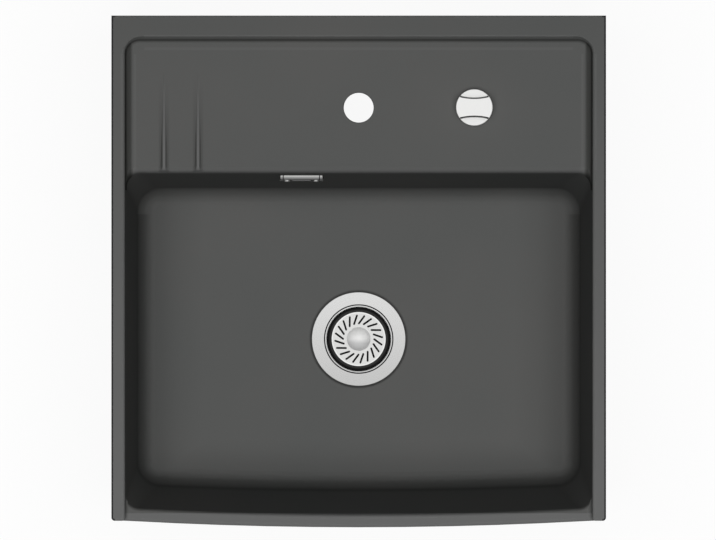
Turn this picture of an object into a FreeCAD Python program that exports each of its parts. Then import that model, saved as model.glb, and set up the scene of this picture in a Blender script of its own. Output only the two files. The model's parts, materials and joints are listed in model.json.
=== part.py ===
"""Kitchen sink module with a draining ledge, a pop-up strainer waste and an overflow.

A matt glazed ceramic basin with a bowed apron front stands on a 60 cm base cabinet.  The side
rims are raised; the ledge behind the bowl carries two draining ribs, the tap hole and a rotary
knob.  Turning the knob drives a rack, a push-pull cable, a rocking lever and a lifting pin,
which raise the strainer off its seat.  The strainer also lifts out by hand.

Frame: millimetres, +X to the right, +Y to the wall, +Z up.  The origin is the centre of the
basin's footprint, on the plane where its foot rests on the cabinet.
"""

import FreeCAD, Part
import math
import os

Vector = FreeCAD.Vector

# ---------------------------------------------------------------- basin, outside
WIDTH = 595.0            # side to side, for a 60 cm cabinet
DEPTH = 616.0            # back edge to the crown of the bowed apron
HEIGHT = 220.0           # foot to the top of the raised rims
BOW_RISE = 8.2           # how far the apron's crown stands before the bow's ends
BOW_OVERLAP = 5.0        # the bow runs this far past the inner faces of the end posts
POST_CORNER_R = 4.0
RIM_SIDE = 16.0          # width of the raised side rims, and of the end posts
RIM_BACK = 25.0          # width of the raised back rim
RIM_EDGE_R = 2.5         # outer edges of the rims
APRON_EDGE_R = 4.0       # top edge of the apron
RIM_INNER_R = 3.5        # inner edges of the rims
RIM_EDGE_START = 0.02    # that rounding starts this far inside the recess, to cross its walls cleanly
FOOT_EDGE_R = 2.0

# ---------------------------------------------------------------- basin, ledge and bowl
FRONT_RIM_DROP = 15.0    # front rim below the side rims
LEDGE_FALL_DEG = 1.5     # the ledge drains towards the bowl
RECESS_BACK_SLOPE_DEG = 30.0  # from upright
RECESS_CORNER_R = 20.0   # plan radius of the recess at the top of the rims
RECESS_CORNER_TAPER = 0.3  # that radius shrinks by this much for each millimetre down
RECESS_FOOT_R = 6.0
BOWL_BACK_INSET = 189.4  # back edge of the basin to the bowl's back wall, just below its lip
BOWL_FRONT_INSET = 16.5  # crown of the apron to the bowl's front wall, just below its lip
BACK_LIP_R = 10.0
FRONT_LIP_REACH = 5.0
LIP_TURN_DEG = 78.0      # the lips' rounding ends a little before it is level
LIP_STEPS = 6
SIDE_DRAFT_DEG = 3.7
BACK_DRAFT_DEG = 6.1
FRONT_DRAFT_DEG = 9.2
BOWL_CORNER_TOP_R = 16.0
BOWL_CORNER_FLOOR_R = 31.0
FLOOR_R = 22.0
FLOOR_FALL_DEG = 1.0
FLOOR_HEIGHT = 20.0      # top of the floor at the drain, above the foot plane

# ---------------------------------------------------------------- basin, underside
LEDGE_THICKNESS = 16.0
BACK_WALL_THICKNESS = 14.0
CHAMBER_SIDE_WALL = 18.0
CHAMBER_EDGE_R = 8.0
SKIRT_THICKNESS = 18.0
SKIRT_HEIGHT = 70.0
POCKET_DEPTH = 5.0       # the floor's underside stands this far above the foot plane
POCKET_SIDE_INSET = 34.0
POCKET_FRONT_INSET = 54.0
POCKET_BACK_MARGIN = 26.0
POCKET_CORNER_R = 20.0

# ---------------------------------------------------------------- draining ribs
RIB_X = (-234.5, -193.5)
RIB_HEIGHT = 3.2         # at the bowl end; a rib's crest is level, so it fades into the ledge
RIB_HALF_WIDTH = 5.8
RIB_CREST_SHARE = 0.4    # crest radius over the sum of crest and foot radii
RIB_ROOT = 8.0           # how far a rib reaches into the ledge
RIB_NOSE_R = 9.0
RIB_NOSE_SETBACK = 1.5   # the nose starts this far behind the bowl's back wall

# ---------------------------------------------------------------- holes in the ledge
TAP_HOLE_R = 18.0
TAP_X = 0.0
KNOB_X = 139.0
HOLES_BACK_INSET = 110.5  # back edge of the basin to both hole centres
TAP_HOLE_EDGE_R = 1.5
TAP_HOLE_EDGE_START = 0.04

# ---------------------------------------------------------------- clearances
FIT_GAP = 0.15           # between neighbours that slide, turn or screw together
RUNNING_GAP = 0.05       # round a turning or sliding shaft
CONTACT_GAP = 0.3        # between pieces of different bodies that bear on each other
SEAL_GAP = 0.2           # under the closed plug

# ---------------------------------------------------------------- waste flange and cup
DRAIN_X = 0.0
DRAIN_Y = -82.5
WASTE_HOLE_R = 45.0
SEAT_R = 59.5
SEAT_DEPTH = 3.0
FLANGE_R = 57.5
FLANGE_EDGE = 0.5        # chamfer
FLANGE_GASKET_T = 1.0
FLANGE_T = 1.5
GROOVE_R = 42.2          # the groove inside the bright annulus
GROOVE_WIDTH = 0.9
GROOVE_DEPTH = 0.8
THROAT_R = 39.2
THROAT_EDGE = 0.6        # chamfer
THROAT_DEPTH = 12.0      # the cup narrows below this
CUP_R = 31.0             # inside the cup, at its floor
CUP_DEPTH = 41.0         # top of the flange to the inside of the cup's floor
CUP_T = 1.2
CUP_HOLE_R = 16.5

# ---------------------------------------------------------------- waste body
BODY_GASKET_T = 1.5
BODY_FLANGE_R = 56.0
BODY_WALL = 3.4
CHAMBER_R = 24.0         # lower chamber of the waste body
CHAMBER_FLOOR_Z = -70.0
OUTLET_R = 23.9          # G 1 1/2 spigot
OUTLET_BORE_R = 20.2
OUTLET_END_Z = -98.0
BOSS_ANGLES_DEG = (60.0, 180.0, 300.0)
BOSS_PITCH_R = 26.0
BOSS_R = 5.0
BOSS_LENGTH = 16.0
SCREW_R = 2.5
SCREW_HEAD_R = 4.2
SCREW_HEAD_T = 2.4
SCREW_LENGTH = 14.0
SPIDER_TOP_Z = -29.0
SPIDER_T = 6.0
SPIDER_HUB_R = 6.0
SPIDER_ARM = 3.0
SPIDER_SEAT = 0.6        # the arms' ends are hollowed this deep round the screw bosses

# ---------------------------------------------------------------- strainer
STRAINER_R = 33.6
STRAINER_T = 1.2
STRAINER_DROP = 2.0      # strainer rim below the flange's top
SLOTS = 20
SLOT_WIDTH = 2.3
SLOT_LENGTH = 13.2
SLOT_MID_R = 23.8
SLOT_TILT_DEG = 28.0
SLOT_PHASE_DEG = -8.6
CAP_R = 14.5
CAP_RISE = 4.6
GUARD_R = 38.2           # rubber ring round the strainer's rim
GUARD_T = 3.0
GUARD_LIP = 0.6
BASKET_TOP_R = 29.5
BASKET_BOTTOM_R = 25.0
BASKET_DEPTH = 23.0
BASKET_T = 0.9
BASKET_SLITS = 24
BASKET_SLIT_WIDTH = 2.2
BASKET_SLIT_MARGIN = 5.0
BASKET_HOLES = 12
BASKET_HOLE_R = 2.2
BASKET_HOLE_PITCH_R = 18.0
STEM_R = 4.0
STEM_COLLAR_R = 7.0
STEM_END = 4.5           # the stem ends this far below the inside of the cup's floor
PLUG_R = 20.5
PLUG_T = 3.5
PLUG_NUT_R = 8.0
PLUG_NUT_T = 3.0

# ---------------------------------------------------------------- lifting gear at the waste
PIVOT_REACH = 29.0       # ball centre to the drain's axis
PIVOT_Z = -48.0
BALL_R = 6.0
LEVER_ROD_R = 2.0
TIP_BALL_R = 3.5
ARM_BEND = 13.0          # ball centre to the bend of the outer arm
ARM_OUT = 22.0           # ball centre to the eye, outwards
ARM_UP = 20.0            # and upwards, half way through the lever's swing
EYE_R = 5.4
EYE_HALF_WIDTH = 3.0
NIPPLE_R = 2.2
EYE_PLAY = 0.8           # the eye's arc leaves the cable's straight line by up to this much
PORT_R = 9.5
PORT_HOLE_R = 4.8
PORT_SHOULDER = 3.5      # ball centre to the seal's shoulder
PORT_LENGTH = 3.0        # ball centre to the port's end
PORT_CAP_R = 12.5
PORT_CAP_T = 3.0
PORT_CAP_GRIP = 4.2
PIN_R = 3.0
PIN_FOOT_R = 4.6
PIN_FOOT_T = 2.0

# ---------------------------------------------------------------- knob
KNOB_R = 22.0
KNOB_HEIGHT = 16.0
KNOB_BASE_HEIGHT = 6.5   # the finger scoops stop at this height
KNOB_WAIST = 11.1        # half width of the grip bar at its middle
KNOB_SCOOP_R = 71.5
KNOB_SCOOP_DRAFT = 1.3
KNOB_EDGE_R = 1.2
KNOB_TURN_DEG = 90.0
ROSETTE_R = 20.5
ROSETTE_T = 2.6
ROSETTE_WALL = 0.9
KNOB_GASKET_T = 1.2
KNOB_GASKET_R = 20.3
SLEEVE_R = 14.0
SLEEVE_HEAD_R = 19.4
SLEEVE_HEAD_T = 1.6
SLEEVE_DROP = 54.0       # rim top to the sleeve's lower end
WASHER_R = 26.0
WASHER_T = 2.0
NUT_R = 22.0
NUT_T = 8.0
SPINDLE_R = 4.5
SPINDLE_IN_KNOB = 9.0

# ---------------------------------------------------------------- rack drive under the knob
PINION_TEETH = 16
GEAR_MODULE = 1.0
PRESSURE_ANGLE_DEG = 20.0
TOOTH_THINNING = 0.12    # backlash, taken off each flank
RACK_ADDENDUM = 0.85     # in modules, a little short to stay clear of the pinion's roots
DEDENDUM = 1.25          # in modules
GEAR_T = 8.0
RACK_TEETH = 9
RACK_LEAD_TEETH = 6      # teeth on the cable's side of the pinion's axis at rest
RACK_END = 3.0
RACK_BACK_T = 5.0
DRIVE_WALL = 2.5
DRIVE_TOP_T = 4.0
DRIVE_LID_T = 2.5
DRIVE_END_ROOM = 3.0
DRIVE_COLLAR_R = 17.5
DRIVE_COLLAR_H = 6.0
DRIVE_SCREW_R = 1.4
DRIVE_SCREW_HEAD_R = 2.6
DRIVE_SCREW_HEAD_T = 1.6
DRIVE_SCREW_LENGTH = 9.0
DRIVE_SCREW_INSET = 3.6

# ---------------------------------------------------------------- cable
SHEATH_R = 2.5
CORE_R = 0.8
CORE_BORE_R = 1.1
CORE_BORE_DEPTH = 26.0
CORE_IN_SHEATH = 10.0    # wire inside the sheath when it is drawn out the furthest
FERRULE_R = 4.0
FERRULE_LENGTH = 14.0
FERRULE_SOCKET = 8.0
FERRULE_STANDOFF = 26.0  # eye at rest to the near end of the ferrule
BRACKET_HALF_WIDTH = 6.5
BRACKET_T = 4.0
BRACKET_BAND = 8.0       # height of the bracket's ring on the waste body
BRACKET_GRIP = 9.0       # length of ferrule that a holder grips
FERRULE_BOSS_R = 6.5
SHEATH_TURN_ROOM = 20.0  # straight sheath past its bored end, before the first bend's corner
SHEATH_BACK = (12.0, 152.0, -74.0)
SHEATH_RISE = (22.0, 180.0, 50.0)
SHEATH_TOP_X = 36.0
SHEATH_BENDS = (40.0, 45.0, 150.0, 35.0)

# ---------------------------------------------------------------- overflow
OVERFLOW_X = -69.2
OVERFLOW_DROP = 50.0     # rim top to the middle of the overflow
OVERFLOW_SLOT = (44.0, 12.0)
TRIM_SIZE = (53.0, 16.0)
TRIM_PROUD = 6.0
TRIM_WALL = 1.5
TRIM_GASKET_T = 0.8
TRIM_WINDOW = (28.0, 7.0)
TRIM_JOINT_X = 21.0      # a fine joint near each end of the trim
TRIM_JOINT_WIDTH = 0.9
TRIM_JOINT_DEPTH = 0.6
TRIM_SCREW_X = 17.5
TRIM_SCREW_R = 2.0
TRIM_SCREW_HEAD_R = 3.2
TRIM_SCREW_HEAD_T = 1.2
TRIM_SCREW_LENGTH = 32.0
ELBOW_GASKET_T = 1.5
ELBOW_FLANGE = (62.0, 21.0)
ELBOW_FLANGE_T = 4.0
ELBOW_BODY = (48.0, 18.0)
ELBOW_DEPTH = 26.0
ELBOW_ROOM = (26.0, 13.0)
ELBOW_WALL = 3.0
SPIGOT_R = 8.4
SPIGOT_BORE_R = 6.4
SPIGOT_LENGTH = 24.0
HOSE_R = 11.0
HOSE_BORE_R = 8.6
HOSE_GRIP = 14.0         # length of spigot inside the hose
HOSE_NUT_R = 14.5
HOSE_NUT_LENGTH = 12.0
INLET_ANGLE_DEG = 135.0
INLET_Z = -44.0
INLET_END = 58.0         # drain's axis to the end of the inlet spigot
HOSE_LOW_Z = -46.0
HOSE_TURN_ROOM = 32.0
HOSE_BENDS = (60.0, 50.0)

# ---------------------------------------------------------------- worked out from the above
BACK_Y = DEPTH / 2
CROWN_Y = -DEPTH / 2
POST_X = WIDTH / 2 - RIM_SIDE
BOW_END_X = POST_X + BOW_OVERLAP
POST_Y = CROWN_Y + BOW_RISE
FRONT_RIM_Z = HEIGHT - FRONT_RIM_DROP
BOWL_BACK_Y = BACK_Y - BOWL_BACK_INSET
BOWL_FRONT_Y = CROWN_Y + BOWL_FRONT_INSET
KNEE_Z = FRONT_RIM_Z - BACK_LIP_R
LIP_BACK_Y = BOWL_BACK_Y + BACK_LIP_R
HOLES_Y = BACK_Y - HOLES_BACK_INSET
LEDGE_UNDER_Z = FRONT_RIM_Z - LEDGE_THICKNESS
SEAT_Z = FLOOR_HEIGHT - SEAT_DEPTH
OVERFLOW_Z = HEIGHT - OVERFLOW_DROP
SLEEVE_END_Z = HEIGHT - SLEEVE_DROP
BOW_R = (BOW_END_X ** 2 + BOW_RISE ** 2) / (2 * BOW_RISE)

FLANGE_TOP_Z = SEAT_Z + FLANGE_GASKET_T + FLANGE_T
CUP_FLOOR_Z = FLANGE_TOP_Z - CUP_DEPTH
STRAINER_TOP_Z = FLANGE_TOP_Z - STRAINER_DROP
BASKET_FLOOR_Z = STRAINER_TOP_Z - STRAINER_T - BASKET_DEPTH
STEM_END_Z = CUP_FLOOR_Z - STEM_END
BODY_TOP_Z = POCKET_DEPTH - BODY_GASKET_T
BODY_SHELF_Z = CUP_FLOOR_Z - CUP_T - FIT_GAP

PITCH_R = GEAR_MODULE * PINION_TEETH / 2
RACK_TRAVEL = PITCH_R * math.radians(KNOB_TURN_DEG)
ARM_R = math.hypot(ARM_OUT, ARM_UP)
LEVER_SWEEP = 2 * math.asin(RACK_TRAVEL / 2 / ARM_R)
PIVOT = Vector(DRAIN_X, DRAIN_Y + PIVOT_REACH, PIVOT_Z)
LEVER_AXIS = Vector(-1, 0, 0)    # turning about this raises the lever's inner finger
CABLE_RUN = Vector(0, ARM_UP, -ARM_OUT).normalize()    # pulling the wire this way lifts the strainer
EYE_REST = PIVOT.add(Vector(0, ARM_OUT, ARM_UP)).sub(Vector(CABLE_RUN).multiply(RACK_TRAVEL / 2)).sub(
    Vector(0, ARM_OUT, ARM_UP).normalize().multiply(ARM_R * (1 - math.cos(LEVER_SWEEP / 2))))


def tan_deg(angle):
    return math.tan(math.radians(angle))


def ledge_z(y):
    """Height of the sloping ledge at a distance y from the centre."""
    return FRONT_RIM_Z + (y - LIP_BACK_Y) * tan_deg(LEDGE_FALL_DEG)


def back_wall_y(z):
    """The bowl side of the bowl's back wall at height z."""
    return BOWL_BACK_Y - (KNEE_Z - z) * tan_deg(BACK_DRAFT_DEG)


# ---------------------------------------------------------------- shape helpers
def box(x0, x1, y0, y1, z0, z1):
    return Part.makeBox(x1 - x0, y1 - y0, z1 - z0, Vector(x0, y0, z0))


def rod(radius, start, end):
    """A round bar between two points."""
    run = end.sub(start)
    return Part.makeCylinder(radius, run.Length, start, run)


def pillar(radius, x, y, z0, z1):
    return Part.makeCylinder(radius, z1 - z0, Vector(x, y, z0))


def ring(outer_r, inner_r, x, y, z0, z1):
    hole = pillar(inner_r, x, y, z0 - 1, z1 + 1)
    return pillar(outer_r, x, y, z0, z1).cut(hole)


def revolved(profile, x, y):
    """Turns a closed list of (radius, z) points about the upright axis through (x, y)."""
    points = [Vector(x + r, y, z) for r, z in profile]
    face = Part.Face(Part.makePolygon(points + points[:1]))
    return face.revolve(Vector(x, y, 0), Vector(0, 0, 1), 360)


def prism(points, along):
    """Extrudes a closed outline of vectors."""
    return Part.Face(Part.makePolygon(points + points[:1])).extrude(along)


def stadium(width, height, y0, y1, corner_r, x=0.0, z=0.0):
    """A rounded rectangle in the XZ plane, extruded along Y."""
    block = box(x - width / 2, x + width / 2, y0, y1, z - height / 2, z + height / 2)
    upright = [e for e in block.Edges if abs(e.Length - (y1 - y0)) < 1e-6
               and abs(e.tangentAt(e.FirstParameter).y) > 0.99]
    return block.makeFillet(corner_r, upright)


def edges_where(shape, test):
    return [e for e in shape.Edges if test(e)]


def middle(edge):
    return edge.valueAt((edge.FirstParameter + edge.LastParameter) / 2)


def around(shape, x, y, count, first_deg=0.0):
    """Copies of a shape turned evenly about an upright axis."""
    copies = []
    for k in range(count):
        turned = shape.copy()
        turned.rotate(Vector(x, y, 0), Vector(0, 0, 1), first_deg + k * 360.0 / count)
        copies.append(turned)
    return copies


def rounded_path(points, radii):
    """Straight runs joined by tangent arcs, with one radius for each inner point."""
    edges = []
    start = points[0]
    for before, corner, after, radius in zip(points, points[1:], points[2:], radii):
        to_before = before.sub(corner).normalize()
        to_after = after.sub(corner).normalize()
        half_turn = (math.pi - to_before.getAngle(to_after)) / 2
        reach = radius * math.tan(half_turn)
        bisector = to_before.add(to_after).normalize()
        arc_start = corner.add(to_before.multiply(reach))
        arc_end = corner.add(to_after.multiply(reach))
        inner = corner.add(bisector.multiply(radius / math.cos(half_turn) - radius))
        edges.append(Part.LineSegment(start, arc_start).toShape())
        edges.append(Part.Arc(arc_start, inner, arc_end).toShape())
        start = arc_end
    edges.append(Part.LineSegment(start, points[-1]).toShape())
    return Part.Wire(edges)


def swept(path, radius):
    """A round section swept along a path of lines and arcs."""
    first = path.Edges[0]
    start = first.valueAt(first.FirstParameter)
    section = Part.Wire(Part.makeCircle(radius, start, first.tangentAt(first.FirstParameter)))
    return path.makePipeShell([section], True, True)


def save(node, shape):
    if shape.ShapeType == "Compound" and len(shape.Solids) == 1:
        shape = shape.Solids[0]
    shape.exportStep(os.path.join("parts", node + ".step"))


# ---------------------------------------------------------------- ceramic basin
def arc_through(start, centre, radius, end):
    """The short arc of a circle in a level plane between two of its points."""
    mid_way = start.add(end).multiply(0.5).sub(centre)
    mid = centre.add(mid_way.normalize().multiply(radius))
    return Part.Arc(start, mid, end).toShape()


def bowl_outline(z, back_flare=0.0, front_flare=0.0):
    """The bowl's plan outline at height z: straight sides and back, bowed front, round corners."""
    half = POST_X - (HEIGHT - z) * tan_deg(SIDE_DRAFT_DEG)
    fall = max(0.0, KNEE_Z - z)
    back = BOWL_BACK_Y - fall * tan_deg(BACK_DRAFT_DEG) + back_flare
    crown = BOWL_FRONT_Y + fall * tan_deg(FRONT_DRAFT_DEG) - front_flare
    share = fall / (KNEE_Z - FLOOR_HEIGHT)
    corner_r = BOWL_CORNER_TOP_R + share * (BOWL_CORNER_FLOOR_R - BOWL_CORNER_TOP_R)
    bow_centre = Vector(0, crown + BOW_R, z)
    corner_y = bow_centre.y - math.sqrt((BOW_R - corner_r) ** 2 - (half - corner_r) ** 2)
    front_centres = {s: Vector(s * (half - corner_r), corner_y, z) for s in (-1, 1)}
    touch = {s: bow_centre.add(c.sub(bow_centre).multiply(BOW_R / (BOW_R - corner_r)))
             for s, c in front_centres.items()}
    back_centres = {s: Vector(s * (half - corner_r), back - corner_r, z) for s in (-1, 1)}
    left_back, right_back = Vector(-half, back - corner_r, z), Vector(half, back - corner_r, z)
    back_left, back_right = Vector(-half + corner_r, back, z), Vector(half - corner_r, back, z)
    right_front, left_front = Vector(half, corner_y, z), Vector(-half, corner_y, z)
    return Part.Wire([
        Part.LineSegment(back_left, back_right).toShape(),
        arc_through(back_right, back_centres[1], corner_r, right_back),
        Part.LineSegment(right_back, right_front).toShape(),
        arc_through(right_front, front_centres[1], corner_r, touch[1]),
        Part.Arc(touch[1], Vector(0, crown, z), touch[-1]).toShape(),
        arc_through(touch[-1], front_centres[-1], corner_r, left_front),
        Part.LineSegment(left_front, left_back).toShape(),
        arc_through(left_back, back_centres[-1], corner_r, back_left),
    ])


def bowl_space():
    """Everything that the bowl leaves empty, up to above the rims."""
    below_floor = FLOOR_HEIGHT / 2
    walls = Part.makeLoft([bowl_outline(below_floor), bowl_outline(KNEE_Z)], True, True)
    floor_cone_r = 2.0 * DEPTH
    cone = Part.makeCone(0.001, floor_cone_r, floor_cone_r * tan_deg(FLOOR_FALL_DEG),
                         Vector(DRAIN_X, DRAIN_Y, FLOOR_HEIGHT - SEAT_R * tan_deg(FLOOR_FALL_DEG)))
    above_cone = cone.fuse(pillar(floor_cone_r, DRAIN_X, DRAIN_Y,
                                  cone.BoundBox.ZMax, cone.BoundBox.ZMax + HEIGHT))
    walls = walls.common(above_cone.removeSplitter())
    foot_edges = edges_where(walls, lambda e: middle(e).z < KNEE_Z - FLOOR_R
                             and e.BoundBox.ZLength < BACK_LIP_R)
    walls = walls.makeFillet(FLOOR_R, foot_edges)
    upper = Part.makeLoft([bowl_outline(KNEE_Z), bowl_outline(HEIGHT + 1.0)], True, True)
    return walls, upper


def lips_space():
    """What the rounded lips of the ledge and of the front rim leave empty above the bowl's walls."""
    sections = []
    for k in range(LIP_STEPS + 1):
        turn = math.radians(LIP_TURN_DEG) * k / LIP_STEPS
        spread = 1 - math.cos(turn)
        sections.append(bowl_outline(KNEE_Z + BACK_LIP_R * math.sin(turn),
                                     BACK_LIP_R * spread, FRONT_LIP_REACH * spread))
    rise = BACK_LIP_R * (1 - math.sin(turn)) + 1.0
    run = 1 - math.cos(turn) + rise / BACK_LIP_R * math.tan(turn)
    sections.append(bowl_outline(FRONT_RIM_Z + 1.0, BACK_LIP_R * run, FRONT_LIP_REACH * run))
    return Part.makeLoft(sections, True, False)


def ledge_space():
    """The shallow recess over the ledge, open towards the bowl."""
    front = BOWL_BACK_Y - BOWL_CORNER_TOP_R - 2 * BACK_LIP_R

    def outline(z):
        corner_r = RECESS_CORNER_R - (HEIGHT - z) * RECESS_CORNER_TAPER
        half = POST_X - (HEIGHT - z) * tan_deg(SIDE_DRAFT_DEG)
        back = BACK_Y - RIM_BACK - (HEIGHT - z) * tan_deg(RECESS_BACK_SLOPE_DEG)
        corners = {s: Vector(s * (half - corner_r), back - corner_r, z) for s in (-1, 1)}
        left, right = Vector(-half, back - corner_r, z), Vector(half, back - corner_r, z)
        back_left, back_right = Vector(-half + corner_r, back, z), Vector(half - corner_r, back, z)
        front_left, front_right = Vector(-half, front, z), Vector(half, front, z)
        return Part.Wire([
            Part.LineSegment(back_left, back_right).toShape(),
            arc_through(back_right, corners[1], corner_r, right),
            Part.LineSegment(right, front_right).toShape(),
            Part.LineSegment(front_right, front_left).toShape(),
            Part.LineSegment(front_left, left).toShape(),
            arc_through(left, corners[-1], corner_r, back_left),
        ])
    space = Part.makeLoft([outline(ledge_z(front) - 1.0), outline(HEIGHT + 1.0)], True, True)
    reach = WIDTH
    slab = prism([Vector(-reach, y, z) for y, z in
                  ((-reach, ledge_z(-reach)), (reach, ledge_z(reach)), (reach, -reach), (-reach, -reach))],
                 Vector(2 * reach, 0, 0))
    space = space.cut(slab)

    def at_foot(edge):
        point = middle(edge)
        return point.y > front + 1.0 and abs(point.z - ledge_z(point.y)) < 0.01
    return space.makeFillet(RECESS_FOOT_R, edges_where(space, at_foot))


def front_rim_space():
    """The gap between the side rims over the front rim."""
    def side(z):
        return POST_X - (HEIGHT - z) * tan_deg(SIDE_DRAFT_DEG)
    y0, y1 = CROWN_Y - RIM_SIDE, BOWL_FRONT_Y + 3 * BOWL_CORNER_TOP_R
    low, high = FRONT_RIM_Z, HEIGHT + 1.0
    space = prism([Vector(-side(low), y0, low), Vector(side(low), y0, low),
                   Vector(side(high), y0, high), Vector(-side(high), y0, high)],
                  Vector(0, y1 - y0, 0))
    foot = edges_where(space, lambda e: abs(middle(e).z - low) < 0.01
                       and e.BoundBox.YLength > RIM_SIDE)
    return space.makeFillet(RECESS_FOOT_R, foot)


def rib(x):
    """A draining rib: a level bell-shaped crest that the falling ledge uncovers."""
    crest_z = ledge_z(BOWL_BACK_Y) + RIB_HEIGHT
    half_turn = math.atan2(RIB_HEIGHT, RIB_HALF_WIDTH)
    radii = RIB_HALF_WIDTH / math.sin(2 * half_turn)
    crest_r = RIB_CREST_SHARE * radii
    foot_r = radii - crest_r
    y0 = BOWL_BACK_Y + RIB_NOSE_SETBACK
    length = RIB_HEIGHT / tan_deg(LEDGE_FALL_DEG) + RIB_ROOT

    def crest_point(angle):
        return Vector(x + crest_r * math.sin(angle), y0, crest_z - crest_r * (1 - math.cos(angle)))

    def foot_point(side, angle):
        return Vector(x + side * (RIB_HALF_WIDTH - foot_r * math.sin(angle)), y0,
                      crest_z - RIB_HEIGHT + foot_r * (1 - math.cos(angle)))
    turn = 2 * half_turn
    base_z = crest_z - RIB_HEIGHT - RIB_ROOT
    left, right = foot_point(-1, 0), foot_point(1, 0)
    outline = Part.Wire([
        Part.Arc(left, foot_point(-1, turn / 2), crest_point(-turn)).toShape(),
        Part.Arc(crest_point(-turn), crest_point(0), crest_point(turn)).toShape(),
        Part.Arc(crest_point(turn), foot_point(1, turn / 2), right).toShape(),
        Part.LineSegment(right, Vector(right.x, y0, base_z)).toShape(),
        Part.LineSegment(Vector(right.x, y0, base_z), Vector(left.x, y0, base_z)).toShape(),
        Part.LineSegment(Vector(left.x, y0, base_z), left).toShape(),
    ])
    bar = Part.Face(outline).extrude(Vector(0, length, 0))
    nose_y, nose_z = y0 + RIB_NOSE_R, crest_z - RIB_NOSE_R
    x0, x1 = x - 2 * RIB_HALF_WIDTH, x + 2 * RIB_HALF_WIDTH
    keep = box(x0, x1, nose_y, y0 + length + 1, base_z - 1, crest_z + 1)
    keep = keep.fuse(box(x0, x1, y0, nose_y, base_z - 1, nose_z))
    keep = keep.fuse(rod(RIB_NOSE_R, Vector(x0, nose_y, nose_z), Vector(x1, nose_y, nose_z)))
    return bar.common(keep)


def outer_block():
    """The outside of the basin, with the gap over the front rim and all outer edges rounded."""
    half = WIDTH / 2
    left, right = Vector(-BOW_END_X, POST_Y, 0), Vector(BOW_END_X, POST_Y, 0)
    corners = [Vector(half, POST_Y, 0), Vector(half, BACK_Y, 0), Vector(-half, BACK_Y, 0),
               Vector(-half, POST_Y, 0)]
    sides = [Part.LineSegment(a, b).toShape()
             for a, b in zip([right] + corners, corners + [left])]
    outline = Part.Wire([Part.Arc(left, Vector(0, CROWN_Y, 0), right).toShape()] + sides)
    block = Part.Face(outline).extrude(Vector(0, 0, HEIGHT))
    block = block.makeFillet(POST_CORNER_R, edges_where(
        block, lambda e: e.BoundBox.ZLength > HEIGHT - 1
        and abs(abs(middle(e).x) - half) < 0.1 and middle(e).y < 0))
    block = block.cut(front_rim_space())

    def on_apron(edge):
        point = middle(edge)
        on_bow = abs(math.hypot(point.x, point.y - CROWN_Y - BOW_R) - BOW_R) < 0.01
        return on_bow and FRONT_RIM_Z - 0.01 < point.z < HEIGHT - 0.01 and abs(point.x) < POST_X
    block = block.makeFillet(APRON_EDGE_R, edges_where(block, on_apron))

    def on_rim(edge):
        point = middle(edge)
        return abs(point.z - HEIGHT) < 0.01 and (abs(point.x) > POST_X or point.y > BACK_Y - 0.01)
    block = block.makeFillet(RIM_EDGE_R, edges_where(block, on_rim))
    return block.makeFillet(FOOT_EDGE_R, edges_where(
        block, lambda e: abs(middle(e).z) < 0.01 and middle(e).y < BACK_Y - 0.01))


def rims_space():
    """What the rounded inner edges of the raised rims leave empty."""
    def outline(z, side_flare, back):
        half = POST_X - (HEIGHT - z) * tan_deg(SIDE_DRAFT_DEG) + side_flare
        corner_r = RECESS_CORNER_R - (HEIGHT - z) * RECESS_CORNER_TAPER + side_flare
        front = CROWN_Y - RIM_SIDE
        corners = {s: Vector(s * (half - corner_r), back - corner_r, z) for s in (-1, 1)}
        left, right = Vector(-half, back - corner_r, z), Vector(half, back - corner_r, z)
        back_left, back_right = Vector(-half + corner_r, back, z), Vector(half - corner_r, back, z)
        front_left, front_right = Vector(-half, front, z), Vector(half, front, z)
        return Part.Wire([
            Part.LineSegment(back_left, back_right).toShape(),
            arc_through(back_right, corners[1], corner_r, right),
            Part.LineSegment(right, front_right).toShape(),
            Part.LineSegment(front_right, front_left).toShape(),
            Part.LineSegment(front_left, left).toShape(),
            arc_through(left, corners[-1], corner_r, back_left),
        ])
    back_edge = BACK_Y - RIM_BACK
    meets_slope = RIM_INNER_R * tan_deg(RECESS_BACK_SLOPE_DEG / 2)
    sections = []
    for k in range(LIP_STEPS + 1):
        turn = math.radians(LIP_TURN_DEG) * k / LIP_STEPS
        drop = RIM_INNER_R * (1 - math.sin(turn))
        on_slope = back_edge - drop * tan_deg(RECESS_BACK_SLOPE_DEG)
        on_round = back_edge + meets_slope - RIM_INNER_R * math.cos(turn)
        flare = RIM_INNER_R * (1 - math.cos(turn)) - RIM_EDGE_START
        back = max(on_slope, on_round) - RIM_EDGE_START
        sections.append(outline(HEIGHT - drop, flare, back))
    rise = drop + 1.0
    sections.append(outline(HEIGHT + 1.0, flare + rise * math.tan(turn), back + rise * math.tan(turn)))
    return Part.makeLoft(sections, True, True)


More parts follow.
